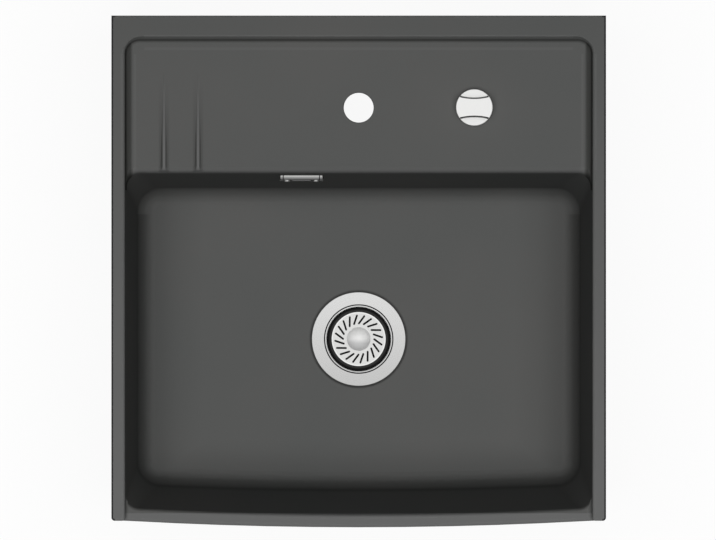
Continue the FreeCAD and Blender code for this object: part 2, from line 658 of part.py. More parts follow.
def plumbing_chamber():
    """The hollow under the ledge, open below and at the back under the skirt."""
    half = WIDTH / 2 - CHAMBER_SIDE_WALL
    wall = BACK_WALL_THICKNESS / math.cos(math.radians(BACK_DRAFT_DEG))
    beyond = 5.0
    outline = [(back_wall_y(LEDGE_UNDER_Z) + wall, LEDGE_UNDER_Z),
               (back_wall_y(-beyond) + wall, -beyond),
               (BACK_Y + beyond, -beyond),
               (BACK_Y + beyond, HEIGHT - SKIRT_HEIGHT),
               (BACK_Y - SKIRT_THICKNESS, HEIGHT - SKIRT_HEIGHT),
               (BACK_Y - SKIRT_THICKNESS, LEDGE_UNDER_Z)]
    hollow = prism([Vector(-half, y, z) for y, z in outline], Vector(2 * half, 0, 0))

    def rounded(edge):
        point = middle(edge)
        ceiling = abs(point.z - LEDGE_UNDER_Z) < 0.01
        front_upright = abs(abs(point.x) - half) < 0.01 \
            and edge.BoundBox.ZLength > LEDGE_UNDER_Z / 2 \
            and point.y < BOWL_BACK_Y + BACK_WALL_THICKNESS
        return ceiling or front_upright
    return hollow.makeFillet(CHAMBER_EDGE_R, edges_where(hollow, rounded))


def floor_pocket():
    half = WIDTH / 2 - POCKET_SIDE_INSET
    pocket = box(-half, half, CROWN_Y + POCKET_FRONT_INSET, back_wall_y(0) - POCKET_BACK_MARGIN,
                 -1.0, POCKET_DEPTH)
    upright = edges_where(pocket, lambda e: e.BoundBox.ZLength > POCKET_DEPTH)
    return pocket.makeFillet(POCKET_CORNER_R, upright)


def hole_rounding(x):
    """The rounded top edge of a hole in the ledge, square to the ledge's slope.

    It starts a little inside the upright hole's wall, so that the two surfaces cross cleanly.
    """
    r, edge = TAP_HOLE_R - TAP_HOLE_EDGE_START, TAP_HOLE_EDGE_R
    slant = edge * math.sqrt(0.5)
    low, mid, high = Vector(r, 0, -edge), Vector(r + edge - slant, 0, slant - edge), Vector(r + edge, 0, 0)
    corners = [high, Vector(r + edge, 0, edge), Vector(r - edge, 0, edge), Vector(r - edge, 0, -edge), low]
    sides = [Part.LineSegment(a, b).toShape() for a, b in zip(corners, corners[1:])]
    profile = Part.Wire([Part.Arc(low, mid, high).toShape()] + sides)
    cutter = Part.Face(profile).revolve(Vector(0, 0, 0), Vector(0, 0, 1), 360)
    cutter.rotate(Vector(0, 0, 0), Vector(1, 0, 0), LEDGE_FALL_DEG)
    cutter.translate(Vector(x, HOLES_Y, ledge_z(HOLES_Y)))
    return cutter


def on_back_wall(shape):
    """Moves a shape drawn in the overflow's own frame to the bowl's sloping back wall.

    There x is 0 at the overflow's middle, y is 0 on the wall and grows into it, z is 0 at mid height.
    """
    placed = shape.copy()
    placed.rotate(Vector(0, 0, 0), Vector(1, 0, 0), -BACK_DRAFT_DEG)
    placed.translate(Vector(OVERFLOW_X, back_wall_y(OVERFLOW_Z), OVERFLOW_Z))
    return placed


def on_back_wall_point(x, y, z):
    return on_back_wall(Part.Vertex(x, y, z)).Point


def basin():
    shape = outer_block()
    for hollow in (ledge_space(), *bowl_space(), lips_space(), rims_space()):
        shape = shape.cut(hollow)
    for x in RIB_X:
        shape = shape.fuse(rib(x))
    for x in (TAP_X, KNOB_X):
        shape = shape.cut(pillar(TAP_HOLE_R, x, HOLES_Y, LEDGE_UNDER_Z - 1.0, HEIGHT))
        shape = shape.cut(hole_rounding(x))
    shape = shape.cut(pillar(WASTE_HOLE_R, DRAIN_X, DRAIN_Y, -1.0, HEIGHT))
    shape = shape.cut(pillar(SEAT_R, DRAIN_X, DRAIN_Y, SEAT_Z, HEIGHT))
    width, height = OVERFLOW_SLOT
    slot = stadium(width, height, -TRIM_PROUD, BACK_WALL_THICKNESS + TRIM_PROUD, height / 2 - 0.1)
    shape = shape.cut(on_back_wall(slot))
    for hollow in (plumbing_chamber(), floor_pocket()):
        shape = shape.cut(hollow)
    return shape


# ---------------------------------------------------------------- waste
def cup_outer_r(z):
    """Outside radius of the steel cup at height z."""
    narrow_from = FLANGE_TOP_Z - THROAT_DEPTH
    share = max(0.0, narrow_from - z) / (narrow_from - CUP_FLOOR_Z)
    return THROAT_R + CUP_T + share * (CUP_R - THROAT_R)


def drain_flange():
    top = FLANGE_TOP_Z
    groove_in = GROOVE_R - GROOVE_WIDTH
    under = top - FLANGE_T
    narrow = top - THROAT_DEPTH
    profile = [(FLANGE_R, under), (FLANGE_R, top - FLANGE_EDGE), (FLANGE_R - FLANGE_EDGE, top),
               (GROOVE_R, top), (GROOVE_R, top - GROOVE_DEPTH), (groove_in, top - GROOVE_DEPTH),
               (groove_in, top), (THROAT_R + THROAT_EDGE, top), (THROAT_R, top - THROAT_EDGE),
               (THROAT_R, narrow), (CUP_R, CUP_FLOOR_Z), (CUP_HOLE_R, CUP_FLOOR_Z),
               (CUP_HOLE_R, CUP_FLOOR_Z - CUP_T), (CUP_R + CUP_T, CUP_FLOOR_Z - CUP_T),
               (CUP_R + CUP_T, CUP_FLOOR_Z), (THROAT_R + CUP_T, narrow), (THROAT_R + CUP_T, under)]
    shape = revolved(profile, DRAIN_X, DRAIN_Y)
    for x, y in boss_places():
        shape = shape.cut(pillar(SCREW_R + FIT_GAP, x, y, CUP_FLOOR_Z - 2 * CUP_T, CUP_FLOOR_Z + 1.0))
    return shape


def boss_places():
    return [(DRAIN_X + BOSS_PITCH_R * math.cos(math.radians(a)),
             DRAIN_Y + BOSS_PITCH_R * math.sin(math.radians(a))) for a in BOSS_ANGLES_DEG]


def flange_gasket():
    return ring(FLANGE_R, WASTE_HOLE_R, DRAIN_X, DRAIN_Y, SEAT_Z, SEAT_Z + FLANGE_GASKET_T)


def body_gasket():
    return ring(BODY_FLANGE_R, WASTE_HOLE_R, DRAIN_X, DRAIN_Y, BODY_TOP_Z, POCKET_DEPTH)


def lever_port(radius, start, end):
    """A round bar along the lever port's axis, between two distances from the ball's centre."""
    return rod(radius, PIVOT.add(Vector(0, start, 0)), PIVOT.add(Vector(0, end, 0)))


def inlet_direction():
    angle = math.radians(INLET_ANGLE_DEG)
    return Vector(math.cos(angle), math.sin(angle), 0)


def inlet_rod(radius, start, end):
    """A round bar along the inlet's axis, between two distances from the drain's axis."""
    centre = Vector(DRAIN_X, DRAIN_Y, INLET_Z)
    along = inlet_direction()
    return rod(radius, centre.add(Vector(along).multiply(start)), centre.add(Vector(along).multiply(end)))


def on_cable(distance):
    """A point on the cable's straight line at the waste, from the eye at rest."""
    return EYE_REST.add(Vector(CABLE_RUN).multiply(distance))


def cable_rod(radius, start, end):
    return rod(radius, on_cable(start), on_cable(end))


def cable_bracket():
    """A ring gripped on the waste body's lower chamber, with an arm that holds the cable's ferrule."""
    grip_start = FERRULE_STANDOFF + (FERRULE_LENGTH - BRACKET_GRIP) / 2
    shoe = cable_rod(FERRULE_BOSS_R, grip_start, grip_start + BRACKET_GRIP)
    grip = on_cable(grip_start + BRACKET_GRIP / 2)
    body_r = CHAMBER_R + BODY_WALL
    arm_top = PIVOT_Z - PORT_CAP_R - CONTACT_GAP - 1.0
    arm_start = DRAIN_Y + body_r
    arm = box(DRAIN_X - BRACKET_HALF_WIDTH, DRAIN_X + BRACKET_HALF_WIDTH, arm_start, grip.y + BRACKET_T,
              arm_top - BRACKET_T, arm_top)
    post = box(DRAIN_X - BRACKET_HALF_WIDTH / 2, DRAIN_X + BRACKET_HALF_WIDTH / 2,
               grip.y - BRACKET_T, grip.y + BRACKET_T, arm_top - BRACKET_T / 2, grip.z)
    collar = pillar(body_r + BRACKET_T, DRAIN_X, DRAIN_Y, arm_top - BRACKET_BAND, arm_top)
    shape = collar.fuse(arm).fuse(post).fuse(shoe)
    shape = shape.cut(pillar(body_r, DRAIN_X, DRAIN_Y, arm_top - BRACKET_BAND - 1.0, arm_top + 1.0))
    bore_end = FERRULE_STANDOFF + FERRULE_LENGTH + FERRULE_BOSS_R
    return shape.cut(cable_rod(FERRULE_R, FERRULE_STANDOFF - 1.0, bore_end))


def waste_body():
    inner_top = cup_outer_r(BODY_TOP_Z) + FIT_GAP
    inner_shelf = CUP_R + CUP_T + FIT_GAP
    flange_under = BODY_TOP_Z - BODY_WALL
    chamber_outer = CHAMBER_R + BODY_WALL
    shelf_under = BODY_SHELF_Z - BODY_WALL
    floor_under = CHAMBER_FLOOR_Z - BODY_WALL
    profile = [(OUTLET_BORE_R, OUTLET_END_Z), (OUTLET_R, OUTLET_END_Z), (OUTLET_R, floor_under),
               (chamber_outer, floor_under), (chamber_outer, shelf_under),
               (inner_shelf + BODY_WALL, shelf_under), (inner_top + BODY_WALL, flange_under),
               (BODY_FLANGE_R, flange_under), (BODY_FLANGE_R, BODY_TOP_Z), (inner_top, BODY_TOP_Z),
               (inner_shelf, BODY_SHELF_Z), (CHAMBER_R, BODY_SHELF_Z), (CHAMBER_R, CHAMBER_FLOOR_Z),
               (OUTLET_BORE_R, CHAMBER_FLOOR_Z)]
    shape = revolved(profile, DRAIN_X, DRAIN_Y)
    for x, y in boss_places():
        shape = shape.fuse(pillar(BOSS_R, x, y, BODY_SHELF_Z - BOSS_LENGTH, BODY_SHELF_Z))
    shape = shape.fuse(inlet_rod(SPIGOT_R, CHAMBER_R + BODY_WALL / 2, INLET_END))
    shape = shape.fuse(lever_port(PORT_R, CHAMBER_R + BODY_WALL / 2 - PIVOT_REACH, PORT_LENGTH))
    for x, y in boss_places():
        shape = shape.cut(pillar(SCREW_R, x, y, BODY_SHELF_Z - SCREW_LENGTH, BODY_SHELF_Z + 1.0))
    shape = shape.cut(inlet_rod(SPIGOT_BORE_R, CHAMBER_R - BODY_WALL, INLET_END + 1.0))
    shape = shape.cut(lever_port(BALL_R + FIT_GAP, -PORT_SHOULDER, PORT_LENGTH + 1.0))
    shape = shape.cut(lever_port(PORT_HOLE_R, CHAMBER_R - BODY_WALL - PIVOT_REACH, 0.0))
    return shape.cut(Part.makeSphere(BALL_R + FIT_GAP, PIVOT))


def pin_guide():
    """The hub that guides the lifting pin; its three arms stand on the screw bosses' sides."""
    low, reach = SPIDER_TOP_Z - SPIDER_T, BOSS_PITCH_R - BOSS_R + SPIDER_SEAT
    shape = pillar(SPIDER_HUB_R, DRAIN_X, DRAIN_Y, low, SPIDER_TOP_Z)
    arm = box(DRAIN_X, DRAIN_X + reach, DRAIN_Y - SPIDER_ARM / 2, DRAIN_Y + SPIDER_ARM / 2,
              low, SPIDER_TOP_Z)
    for turned in around(arm, DRAIN_X, DRAIN_Y, len(BOSS_ANGLES_DEG), BOSS_ANGLES_DEG[0]):
        shape = shape.fuse(turned)
    for x, y in boss_places():
        shape = shape.cut(pillar(BOSS_R, x, y, low - 1.0, SPIDER_TOP_Z + 1.0))
    return shape.cut(pillar(PIN_R + RUNNING_GAP, DRAIN_X, DRAIN_Y, low - 1.0, SPIDER_TOP_Z + 1.0))


def waste_screws():
    screws = []
    for x, y in boss_places():
        shank = pillar(SCREW_R, x, y, BODY_SHELF_Z - SCREW_LENGTH, CUP_FLOOR_Z)
        head = pillar(SCREW_HEAD_R, x, y, CUP_FLOOR_Z, CUP_FLOOR_Z + SCREW_HEAD_T)
        top = edges_where(head, lambda e: abs(middle(e).z - CUP_FLOOR_Z - SCREW_HEAD_T) < 0.01)
        screws.append(cross_recess(shank.fuse(head.makeFillet(SCREW_HEAD_T / 3, top)), x, y,
                                   CUP_FLOOR_Z + SCREW_HEAD_T, SCREW_HEAD_R))
    return Part.Compound(screws)


def cross_recess(screw, x, y, top, head_r, depth=1.2, width=0.9):
    """Cuts a cross recess in a screw's head."""
    reach = 0.6 * head_r
    for dx, dy in ((reach, width / 2), (width / 2, reach)):
        screw = screw.cut(box(x - dx, x + dx, y - dy, y + dy, top - depth, top + 1.0))
    return screw


# ---------------------------------------------------------------- strainer
def slot_cutter(z0, z1):
    """A round-ended slot along X, centred on the origin."""
    half = (SLOT_LENGTH - SLOT_WIDTH) / 2
    cutter = box(-half, half, -SLOT_WIDTH / 2, SLOT_WIDTH / 2, z0, z1)
    for x in (-half, half):
        cutter = cutter.fuse(pillar(SLOT_WIDTH / 2, x, 0, z0, z1))
    return cutter


def strainer_disc():
    low = STRAINER_TOP_Z - STRAINER_T
    disc = pillar(STRAINER_R, DRAIN_X, DRAIN_Y, low, STRAINER_TOP_Z)
    cutter = slot_cutter(low - 1.0, STRAINER_TOP_Z + 1.0)
    cutter.rotate(Vector(0, 0, 0), Vector(0, 0, 1), -SLOT_TILT_DEG)
    cutter.translate(Vector(DRAIN_X + SLOT_MID_R, DRAIN_Y, 0))
    disc = disc.cut(Part.Compound(around(cutter, DRAIN_X, DRAIN_Y, SLOTS, SLOT_PHASE_DEG)))
    return disc.cut(pillar(STEM_R, DRAIN_X, DRAIN_Y, low - 1.0, STRAINER_TOP_Z + 1.0))


def strainer_cap():
    sphere_r = (CAP_R ** 2 + CAP_RISE ** 2) / (2 * CAP_RISE)
    ball = Part.makeSphere(sphere_r, Vector(DRAIN_X, DRAIN_Y, STRAINER_TOP_Z + CAP_RISE - sphere_r))
    cap = ball.common(pillar(CAP_R + 1.0, DRAIN_X, DRAIN_Y, STRAINER_TOP_Z, STRAINER_TOP_Z + CAP_RISE))
    return cap


def strainer_guard():
    """A rubber ring gripped on the strainer's rim."""
    top = STRAINER_TOP_Z + GUARD_LIP
    shape = ring(GUARD_R, STRAINER_R - GUARD_LIP, DRAIN_X, DRAIN_Y, top - GUARD_T, top)
    edge = edges_where(shape, lambda e: abs(middle(e).z - top) < 0.01)
    shape = shape.makeFillet(GUARD_LIP / 2, edge)
    return shape.cut(pillar(STRAINER_R, DRAIN_X, DRAIN_Y, STRAINER_TOP_Z - STRAINER_T, STRAINER_TOP_Z))


def strainer_basket():
    top = STRAINER_TOP_Z - STRAINER_T
    rim = STRAINER_R - GUARD_LIP - FIT_GAP
    profile = [(STEM_R, BASKET_FLOOR_Z), (BASKET_BOTTOM_R, BASKET_FLOOR_Z), (BASKET_TOP_R, top - BASKET_T),
               (rim, top - BASKET_T), (rim, top), (BASKET_TOP_R - BASKET_T, top),
               (BASKET_BOTTOM_R - BASKET_T, BASKET_FLOOR_Z + BASKET_T), (STEM_R, BASKET_FLOOR_Z + BASKET_T)]
    shape = revolved(profile, DRAIN_X, DRAIN_Y)
    slit = box(DRAIN_X + BASKET_HOLE_PITCH_R + 2 * BASKET_HOLE_R, DRAIN_X + STRAINER_R,
               DRAIN_Y - BASKET_SLIT_WIDTH / 2, DRAIN_Y + BASKET_SLIT_WIDTH / 2,
               BASKET_FLOOR_Z + BASKET_SLIT_MARGIN, top - BASKET_SLIT_MARGIN)
    hole = pillar(BASKET_HOLE_R, DRAIN_X + BASKET_HOLE_PITCH_R, DRAIN_Y,
                  BASKET_FLOOR_Z - 1.0, BASKET_FLOOR_Z + BASKET_T + 1.0)
    shape = shape.cut(Part.Compound(around(slit, DRAIN_X, DRAIN_Y, BASKET_SLITS)))
    return shape.cut(Part.Compound(around(hole, DRAIN_X, DRAIN_Y, BASKET_HOLES)))


def strainer_stem():
    plug_top = CUP_FLOOR_Z + PLUG_T
    profile = [(0, STEM_END_Z), (STEM_R, STEM_END_Z), (STEM_R, plug_top), (STEM_COLLAR_R, plug_top),
               (STEM_COLLAR_R, BASKET_FLOOR_Z), (STEM_R, BASKET_FLOOR_Z), (STEM_R, STRAINER_TOP_Z),
               (0, STRAINER_TOP_Z)]
    return revolved(profile, DRAIN_X, DRAIN_Y)


def strainer_plug():
    """The rubber disc that closes the hole in the cup's floor; it rests on the floor."""
    shape = ring(PLUG_R, STEM_R, DRAIN_X, DRAIN_Y, CUP_FLOOR_Z + SEAL_GAP, CUP_FLOOR_Z + PLUG_T)
    lower = edges_where(shape, lambda e: middle(e).z < CUP_FLOOR_Z + PLUG_T / 2 and e.Length > 2 * PLUG_R)
    return shape.makeFillet(PLUG_T / 4, lower)


def plug_nut():
    top = CUP_FLOOR_Z + SEAL_GAP
    return hexagon(PLUG_NUT_R, DRAIN_X, DRAIN_Y, top - PLUG_NUT_T, top).cut(
        pillar(STEM_R, DRAIN_X, DRAIN_Y, top - PLUG_NUT_T - 1.0, top + 1.0))


def hexagon(corner_r, x, y, z0, z1):
    corners = [Vector(x + corner_r * math.cos(math.radians(60 * k)),
                      y + corner_r * math.sin(math.radians(60 * k)), z0) for k in range(6)]
    return prism(corners, Vector(0, 0, z1 - z0))


# ---------------------------------------------------------------- lifting gear
def finger_tip(swing):
    """Centre of the finger's ball, with the lever turned by swing radians from mid travel."""
    return PIVOT.add(Vector(0, -PIVOT_REACH * math.cos(swing), PIVOT_REACH * math.sin(swing)))


def lift_pin():
    foot = finger_tip(-LEVER_SWEEP / 2).z + TIP_BALL_R + CONTACT_GAP
    head = STEM_END_Z - CONTACT_GAP
    profile = [(0, foot), (PIN_FOOT_R, foot), (PIN_FOOT_R, foot + PIN_FOOT_T), (PIN_R, foot + PIN_FOOT_T),
               (PIN_R, head), (0, head)]
    return revolved(profile, DRAIN_X, DRAIN_Y)


def waste_lever():
    """The rocking lever, drawn at mid swing and then turned to rest."""
    bend = PIVOT.add(Vector(0, ARM_BEND, 0))
    eye = PIVOT.add(Vector(0, ARM_OUT, ARM_UP))
    shape = Part.makeSphere(BALL_R, PIVOT)
    shape = shape.fuse(rod(LEVER_ROD_R, finger_tip(0), bend))
    shape = shape.fuse(Part.makeSphere(TIP_BALL_R, finger_tip(0)))
    shape = shape.fuse(Part.makeSphere(LEVER_ROD_R, bend))
    shape = shape.fuse(rod(LEVER_ROD_R, bend, eye))
    across = Vector(2 * EYE_HALF_WIDTH, 0, 0)
    side = eye.sub(Vector(EYE_HALF_WIDTH, 0, 0))
    shape = shape.fuse(rod(EYE_R, side, side.add(across)))
    radial = Vector(0, ARM_OUT, ARM_UP).normalize()
    hole_r = NIPPLE_R + CONTACT_GAP
    for shift in (-EYE_PLAY, 0.0, EYE_PLAY):
        start = side.add(Vector(radial).multiply(shift)).sub(Vector(1, 0, 0))
        shape = shape.cut(rod(hole_r, start, start.add(across).add(Vector(2, 0, 0))))
    mouth = EYE_R * math.tan(LEVER_SWEEP / 2) + CORE_R + EYE_PLAY + CONTACT_GAP
    gate = CORE_R + CONTACT_GAP
    run = Vector(CABLE_RUN).multiply(EYE_R + 1.0)
    corners = [eye.add(Vector(radial).multiply(-mouth)), eye.add(Vector(radial).multiply(mouth))]
    corners = [c.sub(Vector(gate, 0, 0)) for c in corners]
    slit = prism([corners[0], corners[1], corners[1].add(run), corners[0].add(run)], Vector(2 * gate, 0, 0))
    shape = shape.cut(slit)
    shape.rotate(PIVOT, LEVER_AXIS, -math.degrees(LEVER_SWEEP / 2))
    return shape


def port_seal():
    seal = lever_port(BALL_R + FIT_GAP, -PORT_SHOULDER, 0.0)
    seal = seal.cut(lever_port(PORT_HOLE_R - 1.0, -PORT_SHOULDER - 1.0, 1.0))
    return seal.cut(Part.makeSphere(BALL_R + FIT_GAP, PIVOT))


def port_cap():
    start = PORT_LENGTH - PORT_CAP_GRIP
    end = PORT_LENGTH + PORT_CAP_T
    cap = lever_port(PORT_CAP_R, start, end)
    cap = cap.cut(lever_port(PORT_R + FIT_GAP, start - 1.0, PORT_LENGTH))
    cap = cap.cut(lever_port(PORT_HOLE_R, 0.0, end + 1.0))
    return cap.cut(Part.makeSphere(BALL_R + FIT_GAP, PIVOT))


# ---------------------------------------------------------------- cable
def sheath_start():
    return FERRULE_STANDOFF + FERRULE_LENGTH - FERRULE_SOCKET


def cable_end_waste():
    half = Vector(EYE_HALF_WIDTH, 0, 0)
    nipple = rod(NIPPLE_R, EYE_REST.sub(half), EYE_REST.add(half))
    return nipple.fuse(cable_rod(CORE_R, 0.0, sheath_start() + CORE_IN_SHEATH))


def ferrule_waste():
    end = FERRULE_STANDOFF + FERRULE_LENGTH
    shape = cable_rod(FERRULE_R, FERRULE_STANDOFF, end)
    shape = shape.cut(cable_rod(SHEATH_R, sheath_start(), end + 1.0))
    return shape.cut(cable_rod(CORE_BORE_R, FERRULE_STANDOFF - 1.0, end))


def wire_y():
    """The rack's back, and the wire behind it, run at this distance from the centre."""
    return HOLES_Y - PITCH_R - DEDENDUM * GEAR_MODULE - RACK_BACK_T / 2


def gear_top():
    return SLEEVE_END_Z - DRIVE_TOP_T - FIT_GAP


def wire_z():
    return gear_top() - GEAR_T / 2


def drive_ferrule_x():
    """The housing's end of the ferrule at the drive."""
    return rack_left() - DRIVE_END_ROOM - DRIVE_WALL


def rack_left():
    return KNOB_X - RACK_LEAD_TEETH * math.pi * GEAR_MODULE - RACK_END


def rack_right():
    return rack_left() + RACK_TEETH * math.pi * GEAR_MODULE + 2 * RACK_END


def sheath_end_x():
    return drive_ferrule_x() - FERRULE_LENGTH + FERRULE_SOCKET


def drive_rod(radius, x0, x1):
    return rod(radius, Vector(x0, wire_y(), wire_z()), Vector(x1, wire_y(), wire_z()))


def ferrule_drive():
    x0, x1 = drive_ferrule_x() - FERRULE_LENGTH, drive_ferrule_x()
    shape = drive_rod(FERRULE_R, x0, x1)
    shape = shape.cut(drive_rod(SHEATH_R, x0 - 1.0, sheath_end_x()))
    return shape.cut(drive_rod(CORE_BORE_R, x0, x1 + 1.0))


def cable_end_drive():
    return drive_rod(CORE_R, sheath_end_x() - CORE_IN_SHEATH - RACK_TRAVEL, rack_left())


def cable_sheath():
    """The sheath's whole route: down from the waste, under the basin's foot and up to the drive."""
    down_turn = on_cable(sheath_start() + CORE_BORE_DEPTH + SHEATH_TURN_ROOM)
    points = [on_cable(sheath_start()), down_turn,
              Vector(*SHEATH_BACK), Vector(*SHEATH_RISE),
              Vector(SHEATH_TOP_X, wire_y(), wire_z()), Vector(sheath_end_x(), wire_y(), wire_z())]
    path = rounded_path(points, SHEATH_BENDS)
    shape = swept(path, SHEATH_R)
    print("sheath length", round(path.Length, 1), "bends", SHEATH_BENDS,
          "volume ratio", round(shape.Volume / (math.pi * SHEATH_R ** 2 * path.Length), 4))
    shape = shape.cut(cable_rod(CORE_BORE_R, sheath_start() - 1.0, sheath_start() + CORE_BORE_DEPTH))
    return shape.cut(drive_rod(CORE_BORE_R, sheath_end_x() - CORE_BORE_DEPTH, sheath_end_x() + 1.0))


# ---------------------------------------------------------------- rack drive
def involute(base_r, radius):
    """Polar angle and unwinding of an involute at a radius."""
    unwound = math.sqrt(max(0.0, (radius / base_r) ** 2 - 1))
    return unwound - math.atan(unwound)


def drive_pinion():
    """An involute pinion with one tooth pointing at the rack at rest."""
    base_r = PITCH_R * math.cos(math.radians(PRESSURE_ANGLE_DEG))
    tip_r = PITCH_R + RACK_ADDENDUM * GEAR_MODULE
    root_r = PITCH_R - DEDENDUM * GEAR_MODULE
    half_at_pitch = math.pi / (2 * PINION_TEETH) - TOOTH_THINNING / PITCH_R
    centre = Vector(KNOB_X, HOLES_Y, gear_top() - GEAR_T)

    def at(radius, angle):
        return centre.add(Vector(radius * math.cos(angle), radius * math.sin(angle), 0))
    flank_r = [base_r + (tip_r - base_r) * k / 4 for k in range(5)]
    half_at = [half_at_pitch + involute(base_r, PITCH_R) - involute(base_r, r) for r in flank_r]
    edges = []
    for tooth in range(PINION_TEETH):
        mid = -math.pi / 2 + 2 * math.pi * tooth / PINION_TEETH
        following = mid + 2 * math.pi / PINION_TEETH
        rising = [at(r, mid - h) for r, h in zip(flank_r, half_at)]
        falling = [at(r, mid + h) for r, h in zip(flank_r, half_at)][::-1]
        edges.append(Part.LineSegment(at(root_r, mid - half_at[0]), rising[0]).toShape())
        for points in (rising, falling):
            curve = Part.BSplineCurve()
            curve.interpolate(points)
            edges.append(curve.toShape())
        edges.insert(-1, Part.Arc(rising[-1], at(tip_r, mid), falling[0]).toShape())
        edges.append(Part.LineSegment(falling[-1], at(root_r, mid + half_at[0])).toShape())
        edges.append(Part.Arc(at(root_r, mid + half_at[0]), at(root_r, (mid + following) / 2),
                              at(root_r, following - half_at[0])).toShape())
    gear = Part.Face(Part.Wire(edges)).extrude(Vector(0, 0, GEAR_T))
    return gear.cut(pillar(SPINDLE_R, KNOB_X, HOLES_Y, centre.z - 1.0, centre.z + GEAR_T + 1.0))


def drive_rack():
    pitch = math.pi * GEAR_MODULE
    pitch_y = HOLES_Y - PITCH_R
    root_y = pitch_y - DEDENDUM * GEAR_MODULE
    tip_y = pitch_y + RACK_ADDENDUM * GEAR_MODULE
    slope = tan_deg(PRESSURE_ANGLE_DEG)
    z0 = gear_top() - GEAR_T
    points = [Vector(rack_right(), root_y, z0), Vector(rack_right(), root_y - RACK_BACK_T, z0),
              Vector(rack_left(), root_y - RACK_BACK_T, z0), Vector(rack_left(), root_y, z0)]
    for tooth in range(RACK_TEETH):
        mid = rack_left() + RACK_END + (tooth + 0.5) * pitch
        for side, y in ((-1, root_y), (-1, tip_y), (1, tip_y), (1, root_y)):
            half = pitch / 4 - TOOTH_THINNING + (pitch_y - y) * slope
            points.append(Vector(mid + side * half, y, z0))
    return prism(points, Vector(0, 0, GEAR_T))


def drive_bounds():
    x0 = rack_left() - DRIVE_END_ROOM - DRIVE_WALL
    x1 = rack_right() + RACK_TRAVEL + DRIVE_END_ROOM + DRIVE_WALL
    y0 = wire_y() - RACK_BACK_T / 2 - FIT_GAP - DRIVE_WALL
    y1 = HOLES_Y + PITCH_R + 2 * GEAR_MODULE + DRIVE_WALL
    return x0, x1, y0, y1


def drive_housing():
    x0, x1, y0, y1 = drive_bounds()
    lid_top = gear_top() - GEAR_T - FIT_GAP
    shape = box(x0, x1, y0, y1, lid_top, SLEEVE_END_Z)
    corners = edges_where(shape, lambda e: e.BoundBox.ZLength > 1)
    shape = shape.makeFillet(DRIVE_WALL, corners)
    boss = drive_rod(FERRULE_BOSS_R, x0 - BRACKET_GRIP, x0 + DRIVE_WALL / 2)
    shape = shape.fuse(boss.cut(box(x0, x1, y0 - FERRULE_BOSS_R, y1, lid_top - FERRULE_BOSS_R, lid_top)))
    shape = shape.fuse(pillar(DRIVE_COLLAR_R, KNOB_X, HOLES_Y, SLEEVE_END_Z - 1.0,
                              SLEEVE_END_Z + DRIVE_COLLAR_H))
    shape = shape.cut(pillar(SLEEVE_R + FIT_GAP, KNOB_X, HOLES_Y, SLEEVE_END_Z,
                             SLEEVE_END_Z + DRIVE_COLLAR_H + 1.0))
    ceiling = SLEEVE_END_Z - DRIVE_TOP_T
    rack_back = y0 + DRIVE_WALL
    channel = box(x0 + DRIVE_WALL, x1 - DRIVE_WALL, rack_back,
                  HOLES_Y - PITCH_R + GEAR_MODULE + FIT_GAP, lid_top - 1.0, ceiling)
    well = pillar(PITCH_R + 2 * GEAR_MODULE, KNOB_X, HOLES_Y, lid_top - 1.0, ceiling)
    shape = shape.cut(channel).cut(well)
    shape = shape.cut(pillar(SPINDLE_R + RUNNING_GAP, KNOB_X, HOLES_Y, ceiling - 1.0, SLEEVE_END_Z + 1.0))
    shape = shape.cut(drive_rod(CORE_BORE_R, x0 - 1.0, x0 + DRIVE_WALL + 1.0))
    shape = shape.cut(drive_rod(FERRULE_R, x0 - BRACKET_GRIP - 1.0, x0))
    for x, y in drive_screw_places():
        shape = shape.cut(pillar(DRIVE_SCREW_R, x, y, lid_top - 1.0,
                                 lid_top - DRIVE_LID_T + DRIVE_SCREW_LENGTH))
    return shape


def drive_screw_places():
    """Two screws in the solid corners behind the pinion."""
    x0, x1, _, y1 = drive_bounds()
    return [(x, y1 - DRIVE_SCREW_INSET) for x in (x0 + DRIVE_SCREW_INSET, x1 - DRIVE_SCREW_INSET)]


def drive_lid():
    x0, x1, y0, y1 = drive_bounds()
    top = gear_top() - GEAR_T - FIT_GAP
    lid = box(x0, x1, y0, y1, top - DRIVE_LID_T, top)
    lid = lid.makeFillet(DRIVE_WALL, edges_where(lid, lambda e: e.BoundBox.ZLength > 1))
    for x, y in drive_screw_places():
        lid = lid.cut(pillar(DRIVE_SCREW_R + FIT_GAP, x, y, top - DRIVE_LID_T - 1.0, top + 1.0))
    return lid


def drive_screws():
    under = gear_top() - GEAR_T - FIT_GAP - DRIVE_LID_T
    screws = []
    for x, y in drive_screw_places():
        head = pillar(DRIVE_SCREW_HEAD_R, x, y, under - DRIVE_SCREW_HEAD_T, under)
        shank = pillar(DRIVE_SCREW_R, x, y, under, under + DRIVE_SCREW_LENGTH)
        recess = under - DRIVE_SCREW_HEAD_T + 1.0
        screws.append(cross_recess(head.fuse(shank), x, y, recess, DRIVE_SCREW_HEAD_R, 0.2 + 1.0, 0.7))
    return Part.Compound(screws)


# ---------------------------------------------------------------- knob
def rosette_base():
    """The gasket takes up the ledge's fall, so the knob's axis is upright."""
    return ledge_z(HOLES_Y) + KNOB_GASKET_T


def rosette_top():
    return rosette_base() + ROSETTE_T


def knob_gasket():
    low = ledge_z(HOLES_Y) - KNOB_GASKET_T
    shape = ring(KNOB_GASKET_R, SLEEVE_R + FIT_GAP, KNOB_X, HOLES_Y, low, rosette_base())
    reach = 2 * KNOB_GASKET_R
    y0, y1 = HOLES_Y - reach, HOLES_Y + reach
    under = prism([Vector(KNOB_X - reach, y, z) for y, z in
                   ((y0, ledge_z(y0)), (y1, ledge_z(y1)), (y1, low - reach), (y0, low - reach))],
                  Vector(2 * reach, 0, 0))
    return shape.cut(under)


